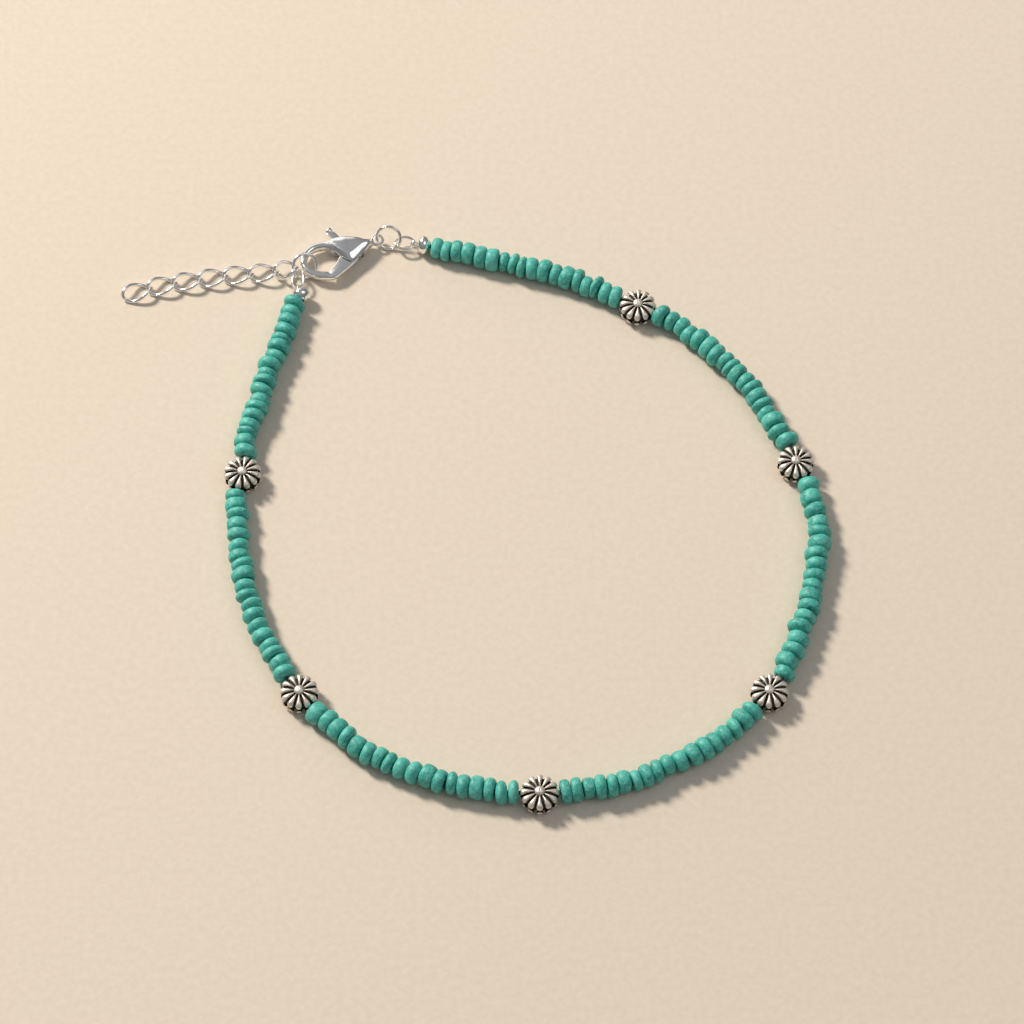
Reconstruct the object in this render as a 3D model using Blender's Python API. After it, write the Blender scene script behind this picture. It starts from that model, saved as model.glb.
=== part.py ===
"""Beaded anklet, fastened and lying flat on a surface.

A loop of stone rondelles and cast flower beads ends in two crimp balls. The
right end is held to a lobster claw clasp by an oval link and a jump ring. The
clasp's hook holds a second jump ring, which carries the loop's left end and a
short chain of twisted links. The loop lies on z = 0, with the middle of its
outline at the origin.
"""

import math
import random

import bmesh
import bpy
from mathutils import Matrix, Vector

MM = 0.001

# Clearances between neighbouring pieces
BEAD_GAP = 0.15 * MM
WIRE_GAP = 0.08 * MM
LEVER_GAP = 0.11 * MM

# Stone beads
BEAD_DIAMETER = 3.1 * MM
BEAD_SIDES = 10
NECK_DIAMETER = 2.1 * MM
RIM_SHARE = 0.25
BEAD_SEED = 823
THICKNESS_SPREAD = 0.2
DIAMETER_SPREAD = 0.085
BEAD_WOBBLE = 0.27 * MM
BEAD_YAW = math.radians(9)
BEAD_TIP = math.radians(6)

# Flower beads
FLOWER_DIAMETER = 5.2 * MM
FLOWER_THICKNESS = 3.0 * MM
PETALS = 12
PETAL_SIDES = 3
GROOVE_ANGLE = math.radians(15)
PETAL_RELIEF = 0.28 * MM

# Rows of a flower bead from its top boss to its waist: radius and height as
# shares of the bead's half sizes, half the petal's angle in degrees, and how
# much of the relief the groove takes there
FLOWER_ROWS = (
    {"radius": 0.26, "height": 1.00, "petal": 5.0, "relief": 0.0},
    {"radius": 0.32, "height": 0.72, "petal": 6.0, "relief": 0.4},
    {"radius": 0.82, "height": 0.80, "petal": 10.5, "relief": 1.0},
    {"radius": 1.00, "height": 0.40, "petal": 9.5, "relief": 1.0},
    {"radius": 0.93, "height": 0.00, "petal": 8.0, "relief": 0.3},
)

# Jump rings, oval links and crimp balls
RING_DIAMETER = 3.86 * MM
RING_WIRE = 0.46 * MM
RING_POINTS = 18
OVAL_LENGTH = 3.1 * MM
LEFT_OVAL_LENGTH = 3.55 * MM
OVAL_WIDTH = 2.5 * MM
OVAL_WIRE = 0.42 * MM
LINK_POINTS = 16
CRIMP_LENGTH = 2.0 * MM
CRIMP_DIAMETER = 2.7 * MM
CRIMP_SIDES = 12
LOOP_WIRE = 0.3 * MM
LOOP_POINTS = 12
LOOP_HALF = (OVAL_WIRE + LOOP_WIRE) / 2 + WIRE_GAP
LOOP_NEAR = CRIMP_LENGTH / 2 - LOOP_WIRE / 2
LINK_SEAT = CRIMP_LENGTH / 2 + OVAL_WIRE / 2 + 2 * WIRE_GAP
LOOP_FAR = LINK_SEAT + OVAL_WIRE / 2 + WIRE_GAP + LOOP_WIRE / 2

# Extender chain
FIRST_LINK_LENGTH = 3.85 * MM
CHAIN_LINK_LENGTH = 4.68 * MM
CHAIN_LINK_WIDTH = 3.1 * MM
CHAIN_WIRE = 0.5 * MM
CHAIN_TWIST = math.radians(-45)

# Clasp
CLASP_LENGTH = 11.6 * MM
CLASP_THICKNESS = 2.4 * MM
CLASP_HEADING = math.radians(200)
EYE_DIAMETER = 2.0 * MM
EYE_WIRE = 0.46 * MM
SLOT_WIDTH = 0.97 * MM
PIN_DIAMETER = 0.8 * MM
KNOB_DIAMETER = 1.15 * MM

# Sections of the clasp's body from its tail to the tip of its hook. Places
# and half sizes are shares of the clasp's length, the depth is a share of
# half its thickness, and the heading is in degrees from its own axis. The nose
# is the section that the hook's ring hangs behind.
CLASP_SECTIONS = (
    {"along": 0.070, "side": 0.010, "heading": 0, "half_width": 0.036, "depth": 0.50},
    {"along": 0.130, "side": 0.020, "heading": 0, "half_width": 0.060, "depth": 0.86},
    {"along": 0.235, "side": 0.032, "heading": 0, "half_width": 0.112, "depth": 1.00},
    {"along": 0.365, "side": 0.034, "heading": 0, "half_width": 0.170, "depth": 1.00},
    {"along": 0.430, "side": 0.020, "heading": 0, "half_width": 0.172, "depth": 1.00},
    {"along": 0.500, "side": -0.030, "heading": 0, "half_width": 0.132, "depth": 0.94},
    {"along": 0.580, "side": -0.098, "heading": 0, "half_width": 0.076, "depth": 0.80},
    {"along": 0.660, "side": -0.138, "heading": 0, "half_width": 0.052, "depth": 0.66},
    {"along": 0.775, "side": -0.146, "heading": 8, "half_width": 0.048, "depth": 0.58},
    {"along": 0.880, "side": -0.102, "heading": 38, "half_width": 0.046, "depth": 0.50},
    {"along": 0.945, "side": -0.012, "heading": 70, "half_width": 0.0455, "depth": 0.46},
    {"along": 0.952, "side": 0.088, "heading": 99, "half_width": 0.0455, "depth": 0.46, "nose": True},
    {"along": 0.910, "side": 0.178, "heading": 128, "half_width": 0.048, "depth": 0.48},
    {"along": 0.832, "side": 0.247, "heading": 150, "half_width": 0.051, "depth": 0.52},
    {"along": 0.755, "side": 0.286, "heading": 158, "half_width": 0.049, "depth": 0.52},
    {"along": 0.691, "side": 0.309, "heading": 206, "half_width": 0.060, "depth": 0.46},
)
SECTION_CORNER = 0.5
CORNER_LIMIT = 0.16

# The pivot and the lever's outline, as shares of the clasp's length
PIVOT = {"along": 0.375, "side": 0.140}
SLOT_FROM = 0.215
SLOT_TO = 0.570
KNOB = {"along": 0.515, "side": -0.322}
LEVER_OUTLINE = (
    {"along": 0.649, "side": 0.354},
    {"along": 0.555, "side": 0.322},
    {"along": 0.440, "side": 0.268},
    {"along": 0.340, "side": 0.212},
    {"along": 0.285, "side": 0.160},
    {"along": 0.280, "side": 0.100},
    {"along": 0.320, "side": 0.020},
    {"along": 0.375, "side": -0.080},
    {"along": 0.420, "side": -0.180},
    {"along": 0.468, "side": -0.285},
    {"along": 0.556, "side": -0.285},
    {"along": 0.520, "side": -0.180},
    {"along": 0.478, "side": -0.070},
    {"along": 0.476, "side": 0.030},
    {"along": 0.545, "side": 0.122},
    {"along": 0.620, "side": 0.195},
    {"along": 0.700, "side": 0.262},
)

# How the hardware lies
CRIMP_RIGHT = (-6.57 * MM, 42.82 * MM)
HARDWARE_HEADING = math.radians(172)
CLASP_RING_TILT = math.radians(58)
HOOK_RING_TILT = math.radians(44)
HOOK_RING_HEADING = math.radians(204)
HOOK_RING_BACK = 0.2
CHAIN_HOLD = math.radians(12)
LOOP_HOLD = math.radians(-30)
LEFT_HEADING = math.radians(280)
LEFT_LEAN = math.radians(40)
CHAIN_DROP = 0.85
CHAIN_HEADINGS = (186, 184, 186, 189, 190, 194, 200)

# Chosen points of the bead string, in millimetres, from the left end to the
# right one. A flower bead sits where a row gives its turn in degrees.
ROUTE = (
    {"x": -24.9, "y": 31.1, "turn": None},
    {"x": -27.3, "y": 23.6, "turn": None},
    {"x": -29.4, "y": 15.5, "turn": None},
    {"x": -30.7, "y": 8.9, "turn": None},
    {"x": -30.8, "y": 5.0, "turn": -12},
    {"x": -31.4, "y": 1.4, "turn": None},
    {"x": -30.8, "y": -7.2, "turn": None},
    {"x": -28.5, "y": -16.5, "turn": None},
    {"x": -24.1, "y": -25.3, "turn": None},
    {"x": -22.1, "y": -28.5, "turn": 0},
    {"x": -19.7, "y": -31.3, "turn": None},
    {"x": -11.9, "y": -37.7, "turn": None},
    {"x": -2.3, "y": -41.6, "turn": None},
    {"x": 5.7, "y": -43.1, "turn": None},
    {"x": 9.5, "y": -43.2, "turn": 0},
    {"x": 13.3, "y": -42.9, "turn": None},
    {"x": 22.3, "y": -40.8, "turn": None},
    {"x": 31.4, "y": -36.4, "turn": None},
    {"x": 37.5, "y": -31.4, "turn": None},
    {"x": 39.8, "y": -28.4, "turn": -4},
    {"x": 41.9, "y": -25.0, "turn": None},
    {"x": 45.7, "y": -14.5, "turn": None},
    {"x": 47.2, "y": -4.1, "turn": None},
    {"x": 46.1, "y": 3.1, "turn": None},
    {"x": 44.6, "y": 6.7, "turn": -2},
    {"x": 43.3, "y": 10.3, "turn": None},
    {"x": 38.9, "y": 18.5, "turn": None},
    {"x": 33.1, "y": 25.7, "turn": None},
    {"x": 26.9, "y": 30.6, "turn": None},
    {"x": 23.5, "y": 32.2, "turn": -3},
    {"x": 20.3, "y": 34.1, "turn": None},
    {"x": 12.2, "y": 37.6, "turn": None},
    {"x": 2.5, "y": 40.2, "turn": None},
)
RUN_BEADS = (18, 19, 18, 18, 18, 18, 18)
ROUTE_STEPS = 60

UP = Vector((0.0, 0.0, 1.0))


def flat(heading):
    """Return the level unit vector at a heading."""
    return Vector((math.cos(heading), math.sin(heading), 0.0))


# Scene, materials and collections


def clear_scene():
    """Remove every object of the scene."""
    for item in list(bpy.data.objects):
        bpy.data.objects.remove(item, do_unlink=True)


def new_collection(name):
    """Add a collection to the scene and return it."""
    collection = bpy.data.collections.new(name)
    bpy.context.scene.collection.children.link(collection)
    return collection


def new_material(name, colour, metallic, roughness):
    """Return a plain Principled material."""
    material = bpy.data.materials.new(name)
    material.use_nodes = True
    shader = material.node_tree.nodes["Principled BSDF"]
    shader.inputs["Base Color"].default_value = (*colour, 1.0)
    shader.inputs["Metallic"].default_value = metallic
    shader.inputs["Roughness"].default_value = roughness
    return material


# Mesh helpers


def finish_mesh(bm, name, smooth_angle=40):
    """Turn a bmesh into a mesh with outward faces and return the mesh."""
    bmesh.ops.recalc_face_normals(bm, faces=bm.faces)
    mesh = bpy.data.meshes.new(name)
    bm.to_mesh(mesh)
    bm.free()
    mesh.shade_smooth()
    mesh.set_sharp_from_angle(angle=math.radians(smooth_angle))
    return mesh


def add_object(name, data, collection, material):
    """Link an object with its material and return it."""
    item = bpy.data.objects.new(name, data)
    collection.objects.link(item)
    data.materials.append(material)
    return item


def add_cutter(name, data, collection):
    """Link a hidden shape that only cuts or joins another."""
    item = bpy.data.objects.new(name, data)
    collection.objects.link(item)
    item.hide_render = True
    item.display_type = "WIRE"
    return item


def boolean(item, other, operation):
    """Cut or join an object with another by an exact Boolean."""
    modifier = item.modifiers.new(operation.lower(), "BOOLEAN")
    modifier.object = other
    modifier.operation = operation
    modifier.solver = "EXACT"


def loft(bm, rings):
    """Skin a row of rings of equal count and close both ends."""
    for lower, upper in zip(rings, rings[1:]):
        for i, vert in enumerate(lower):
            j = (i + 1) % len(lower)
            bm.faces.new((vert, lower[j], upper[j], upper[i]))
    bm.faces.new(rings[0])
    bm.faces.new(rings[-1])


def wire_curve(name, points, wire):
    """Return a closed curve of round wire with six sides through points."""
    curve = bpy.data.curves.new(name, "CURVE")
    curve.dimensions = "3D"
    curve.bevel_depth = wire / 2
    curve.bevel_resolution = 1
    spline = curve.splines.new("POLY")
    spline.points.add(len(points) - 1)
    for target, point in zip(spline.points, points):
        target.co = (*point, 1.0)
    spline.use_cyclic_u = True
    return curve


# Route of the bead string


class Route:
    """A smooth level curve through chosen points, measured along its length."""

    def __init__(self, points):
        self.points = [Vector((x, y, 0.0)) for x, y in points]
        self.samples = []
        self.lengths = [0.0]
        for i in range(len(self.points) - 1):
            self.samples += [self.blend(i, k / ROUTE_STEPS) for k in range(ROUTE_STEPS)]
        self.samples.append(self.points[-1])
        for a, b in zip(self.samples, self.samples[1:]):
            self.lengths.append(self.lengths[-1] + (b - a).length)

    def blend(self, i, t):
        """Return the point at share t of the span that starts at point i."""
        last = len(self.points) - 1
        p0, p1 = self.points[max(i - 1, 0)], self.points[i]
        p2, p3 = self.points[i + 1], self.points[min(i + 2, last)]
        return 0.5 * (2 * p1 + (p2 - p0) * t + (2 * p0 - 5 * p1 + 4 * p2 - p3) * t ** 2
                      + (3 * p1 - p0 - 3 * p2 + p3) * t ** 3)

    def length_at(self, index):
        """Return the length along the route up to one of its chosen points."""
        return self.lengths[min(index * ROUTE_STEPS, len(self.lengths) - 1)]

    def place(self, length):
        """Return the point and the heading at a length along the route."""
        i = 0
        while i < len(self.lengths) - 2 and self.lengths[i + 1] < length:
            i += 1
        a, b = self.samples[i], self.samples[i + 1]
        share = (length - self.lengths[i]) / (self.lengths[i + 1] - self.lengths[i])
        step = b - a
        return a + step * share, math.atan2(step.y, step.x)


# Stone beads


def bead_sizes(rng, count, run_length):
    """Draw the uneven beads of one run: length, radius, drift, yaw and tip."""
    beads = []
    for _ in range(count):
        beads.append({
            "length": 1.0 + THICKNESS_SPREAD * rng.uniform(-1, 1),
            "radius": BEAD_DIAMETER / 2 * (1.0 + DIAMETER_SPREAD * rng.uniform(-1, 1)),
            "drift": BEAD_WOBBLE * rng.uniform(-1, 1),
            "yaw": BEAD_YAW * rng.uniform(-1, 1),
            "tip": BEAD_TIP * rng.uniform(-1, 1),
        })
    scale = run_length / sum(bead["length"] for bead in beads)
    for bead in beads:
        bead["length"] *= scale
    return beads


def ring_verts(bm, centre, normal, radius):
    """Add a round ring of bead vertices, the first one straight below."""
    side = normal.cross(UP).normalized()
    down = normal.cross(side)
    verts = []
    for k in range(BEAD_SIDES):
        angle = 2 * math.pi * k / BEAD_SIDES
        verts.append(bm.verts.new(centre + radius * (math.cos(angle) * down + math.sin(angle) * side)))
    return verts


def bead_run_mesh(name, route, start, beads):
    """Return one run of beads as a single turned body that follows the route."""
    bm = bmesh.new()
    placed = []
    along = start
    for bead in beads:
        centre, heading = route.place(along + bead["length"] / 2)
        centre = centre + flat(heading + math.pi / 2) * bead["drift"]
        axis = (flat(heading + bead["yaw"]) * math.cos(bead["tip"]) + UP * math.sin(bead["tip"]))
        rim = RIM_SHARE * bead["length"]
        centre.z = bead["radius"] * math.cos(bead["tip"]) + rim * abs(math.sin(bead["tip"]))
        placed.append((centre, axis, rim, bead["radius"]))
        along += bead["length"]
    rings = []
    neck = NECK_DIAMETER / 2
    first, heading = route.place(start)
    first.z = placed[0][0].z
    rings.append(ring_verts(bm, first, flat(heading), neck))
    for i, (centre, axis, rim, radius) in enumerate(placed):
        rings.append(ring_verts(bm, centre - axis * rim, axis, radius))
        rings.append(ring_verts(bm, centre + axis * rim, axis, radius))
        if i + 1 < len(placed):
            following, next_axis = placed[i + 1][0], placed[i + 1][1]
            rings.append(ring_verts(bm, (centre + following) / 2, (axis + next_axis).normalized(), neck))
    last, heading = route.place(along)
    last.z = placed[-1][0].z
    rings.append(ring_verts(bm, last, flat(heading), neck))
    loft(bm, rings)
    return finish_mesh(bm, name)


def build_bead_runs(route, stops, collection, material):
    """Build every run of beads between its two stops along the route."""
    rng = random.Random(BEAD_SEED)
    for k, (count, (start, end)) in enumerate(zip(RUN_BEADS, stops)):
        name = f"bead_run_{k + 1}"
        beads = bead_sizes(rng, count, end - start)
        add_object(name, bead_run_mesh(name, route, start, beads), collection, material)


# Flower beads


def flower_mesh():
    """Return a flower bead with raised petals on both faces, centred at its middle."""
    bm = bmesh.new()
    segments = PETALS * PETAL_SIDES
    rows = FLOWER_ROWS + tuple(dict(row, height=-row["height"]) for row in FLOWER_ROWS[-2::-1])
    bmesh.ops.create_uvsphere(bm, u_segments=segments, v_segments=len(rows) + 1, radius=1.0)
    half = FLOWER_THICKNESS / 2
    outer = FLOWER_DIAMETER / 2
    step = 2 * math.pi / segments
    for vert in bm.verts:
        polar = math.acos(max(-1.0, min(1.0, vert.co.z)))
        row_index = round(polar / math.pi * (len(rows) + 1)) - 1
        if not 0 <= row_index < len(rows):
            vert.co = (0.0, 0.0, math.copysign(half, vert.co.z))
            continue
        row = rows[row_index]
        column = round(math.atan2(vert.co.y, vert.co.x) / step) % segments
        petal, part = divmod(column, PETAL_SIDES)
        offset = (-math.radians(row["petal"]), math.radians(row["petal"]), GROOVE_ANGLE)[part]
        angle = petal * 2 * math.pi / PETALS + offset
        cut = PETAL_RELIEF * row["relief"] if part == PETAL_SIDES - 1 else 0.0
        radius = outer * row["radius"]
        height = half * row["height"]
        slope = min(1.0, abs(row["height"]) / FLOWER_ROWS[0]["height"])
        radius -= cut * (1.0 - slope)
        height -= math.copysign(cut * slope, height) if height else 0.0
        vert.co = (radius * math.cos(angle), radius * math.sin(angle), height)
    return finish_mesh(bm, "flower_bead", 25)


def build_flowers(route, collection, material):
    """Build the flower beads, each lying flat where the route passes through it."""
    index = 0
    for k, row in enumerate(ROUTE):
        if row["turn"] is None:
            continue
        index += 1
        item = add_object(f"flower_bead_{index}", flower_mesh(), collection, material)
        item.location = route.points[k + 1] + UP * FLOWER_THICKNESS / 2
        item.rotation_euler = (0.0, 0.0, math.radians(row["turn"]))


# Rings and links


def ring_spot(centre, heading, tilt, radius, angle):
    """Return a point of a ring whose side to the right of its heading is raised."""
    rise = flat(heading - math.pi / 2) * math.cos(tilt) + UP * math.sin(tilt)
    return centre + radius * (math.cos(angle) * flat(heading) + math.sin(angle) * rise)


def ring_wire(heading, tilt, angle):
    """Return the direction in which a tilted ring's wire runs at an angle."""
    return ring_spot(Vector(), heading, tilt, 1.0, angle + math.pi / 2)


def ring_points(centre, heading, tilt, radius):
    """Return points round a tilted ring."""
    return [ring_spot(centre, heading, tilt, radius, 2 * math.pi * k / RING_POINTS)
            for k in range(RING_POINTS)]


def nest(along, wire, other_wire, clearance):
    """Return how far two crossing wires must be apart along a direction."""
    normal = wire.cross(other_wire).normalized()
    return clearance / abs(along.dot(normal))


def oval_points(centre, along, across, half_length, half_width, twist=0.0):
    """Return points round an oval link whose plane turns about its length by the twist."""
    points = []
    up = along.cross(across)
    for k in range(LINK_POINTS):
        angle = 2 * math.pi * k / LINK_POINTS
        turn = twist * math.cos(angle)
        side = across * math.cos(turn) + up * math.sin(turn)
        points.append(centre + along * half_length * math.cos(angle) + side * half_width * math.sin(angle))
    return points


def crimp_mesh(name, centre, along, across):
    """Return a crimp ball joined with its wire loop, which points along."""
    bm = bmesh.new()
    frame = Matrix((along, across, along.cross(across))).transposed().to_4x4()
    turn = Matrix.Rotation(math.pi / 2, 4, "Y")
    bmesh.ops.create_uvsphere(bm, u_segments=CRIMP_SIDES, v_segments=CRIMP_SIDES // 2, radius=0.5,
                              matrix=Matrix.Translation(centre) @ frame
                              @ Matrix.Diagonal((CRIMP_LENGTH, CRIMP_DIAMETER, CRIMP_DIAMETER, 1.0)) @ turn)
    return finish_mesh(bm, name)


def loop_curve(name, centre, along, across, near, far):
    """Return the closed wire loop of a crimp between two reaches from its middle."""
    half_length = (far - near) / 2
    middle = centre + along * (near + far) / 2
    points = [middle + along * half_length * math.cos(a) + across * LOOP_HALF * math.sin(a)
              for a in (2 * math.pi * k / LOOP_POINTS for k in range(LOOP_POINTS))]
    return wire_curve(name, points, LOOP_WIRE)


def as_mesh(item):
    """Return an object's evaluated shape as a mesh with its seams welded."""
    graph = bpy.context.evaluated_depsgraph_get()
    mesh = bpy.data.meshes.new_from_object(item.evaluated_get(graph))
    bm = bmesh.new()
    bm.from_mesh(mesh)
    bmesh.ops.remove_doubles(bm, verts=bm.verts, dist=0.001 * MM)
    bm.to_mesh(mesh)
    bm.free()
    return mesh


def add_crimp(name, centre, along, across, collections, material):
    """Add a crimp ball with its loop as one solid."""
    parts, cutters = collections
    ball = add_object(name, crimp_mesh(name, centre, along, across), parts, material)
    curve = bpy.data.objects.new(name + "_loop_curve", loop_curve(name, centre, along, across, LOOP_NEAR, LOOP_FAR))
    cutters.objects.link(curve)
    loop = add_cutter(name + "_loop", as_mesh(curve), cutters)
    bpy.data.objects.remove(curve)
    boolean(ball, loop, "UNION")


# Clasp


class Clasp:
    """The lobster claw clasp, laid flat with its tail eye at a given place."""

    def __init__(self, eye):
        self.eye = eye
        self.along = flat(CLASP_HEADING)
        self.side = flat(CLASP_HEADING + math.pi / 2)

    def at(self, along, side, height=0.0):
        """Return the world point of two shares of the clasp's length and a height."""
        return self.eye + (self.along * along + self.side * side) * CLASP_LENGTH + UP * height

    def section(self, bm, row):
        """Add one bevelled section of the body and return its vertices."""
        centre = self.at(row["along"], row["side"])
        across = flat(CLASP_HEADING + math.radians(row["heading"]) + math.pi / 2)
        width = row["half_width"] * CLASP_LENGTH
        depth = row["depth"] * CLASP_THICKNESS / 2
        corner = min(SECTION_CORNER * min(width, depth), CORNER_LIMIT * CLASP_THICKNESS)
        outline = ((width, depth - corner), (width - corner, depth), (corner - width, depth),
                   (-width, depth - corner), (-width, corner - depth), (corner - width, -depth),
                   (width - corner, -depth), (width, corner - depth))
        return [bm.verts.new(centre + across * u + UP * v) for u, v in outline]

    def body_mesh(self):
        """Return the lofted body, from its tail to the tip of its hook."""
        bm = bmesh.new()
        loft(bm, [self.section(bm, row) for row in CLASP_SECTIONS])
        return finish_mesh(bm, "clasp_body", 35)

    def eye_curve(self):
        """Return the tail eye as a ring of wire."""
        radius = (EYE_DIAMETER - EYE_WIRE) / 2
        points = ring_points(self.eye, CLASP_HEADING, 0.0, radius)
        return wire_curve("eye", points, EYE_WIRE)

    def slot_mesh(self):
        """Return the block that cuts the slot for the lever."""
        bm = bmesh.new()
        length = (SLOT_TO - SLOT_FROM) * CLASP_LENGTH
        frame = Matrix((self.along, self.side, UP)).transposed().to_4x4()
        centre = self.at((SLOT_FROM + SLOT_TO) / 2, 0.0)
        bmesh.ops.create_cube(bm, size=1.0, matrix=Matrix.Translation(centre) @ frame
                              @ Matrix.Diagonal((length, CLASP_LENGTH, SLOT_WIDTH, 1.0)))
        return finish_mesh(bm, "slot")

    def pin_mesh(self, diameter, height):
        """Return a round pin at the pivot."""
        bm = bmesh.new()
        bmesh.ops.create_cone(bm, cap_ends=True, segments=12, radius1=diameter / 2, radius2=diameter / 2,
                              depth=height, matrix=Matrix.Translation(self.at(PIVOT["along"], PIVOT["side"])))
        return finish_mesh(bm, "pin")

    def lever_mesh(self):
        """Return the lever's flat plate from its outline."""
        bm = bmesh.new()
        half = SLOT_WIDTH / 2 - LEVER_GAP
        lower = [bm.verts.new(self.at(p["along"], p["side"], -half)) for p in LEVER_OUTLINE]
        upper = [bm.verts.new(self.at(p["along"], p["side"], half)) for p in LEVER_OUTLINE]
        loft(bm, [lower, upper])
        return finish_mesh(bm, "clasp_lever", 35)

    def knob_mesh(self):
        """Return the round thumb knob of the lever."""
        bm = bmesh.new()
        bmesh.ops.create_uvsphere(bm, u_segments=12, v_segments=6, radius=KNOB_DIAMETER / 2,
                                  matrix=Matrix.Translation(self.at(KNOB["along"], KNOB["side"])))
        return finish_mesh(bm, "knob")


def build_clasp(clasp, collections, material):
    """Build the clasp's body with its eye, slot and pin, and its lever."""
    parts, cutters = collections
    body = add_object("clasp_body", clasp.body_mesh(), parts, material)
    curve = bpy.data.objects.new("clasp_eye_curve", clasp.eye_curve())
    cutters.objects.link(curve)
    eye = add_cutter("clasp_eye", as_mesh(curve), cutters)
    bpy.data.objects.remove(curve)
    boolean(body, eye, "UNION")
    boolean(body, add_cutter("clasp_slot", clasp.slot_mesh(), cutters), "DIFFERENCE")
    pin_height = (SLOT_WIDTH + CLASP_THICKNESS) / 2
    boolean(body, add_cutter("clasp_pin", clasp.pin_mesh(PIN_DIAMETER, pin_height), cutters), "UNION")
    lever = add_object("clasp_lever", clasp.lever_mesh(), parts, material)
    boolean(lever, add_cutter("clasp_knob", clasp.knob_mesh(), cutters), "UNION")
    bore = clasp.pin_mesh(PIN_DIAMETER + 2 * LEVER_GAP, CLASP_THICKNESS)
    boolean(lever, add_cutter("lever_bore", bore, cutters), "DIFFERENCE")


# Laying out the hardware


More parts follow.
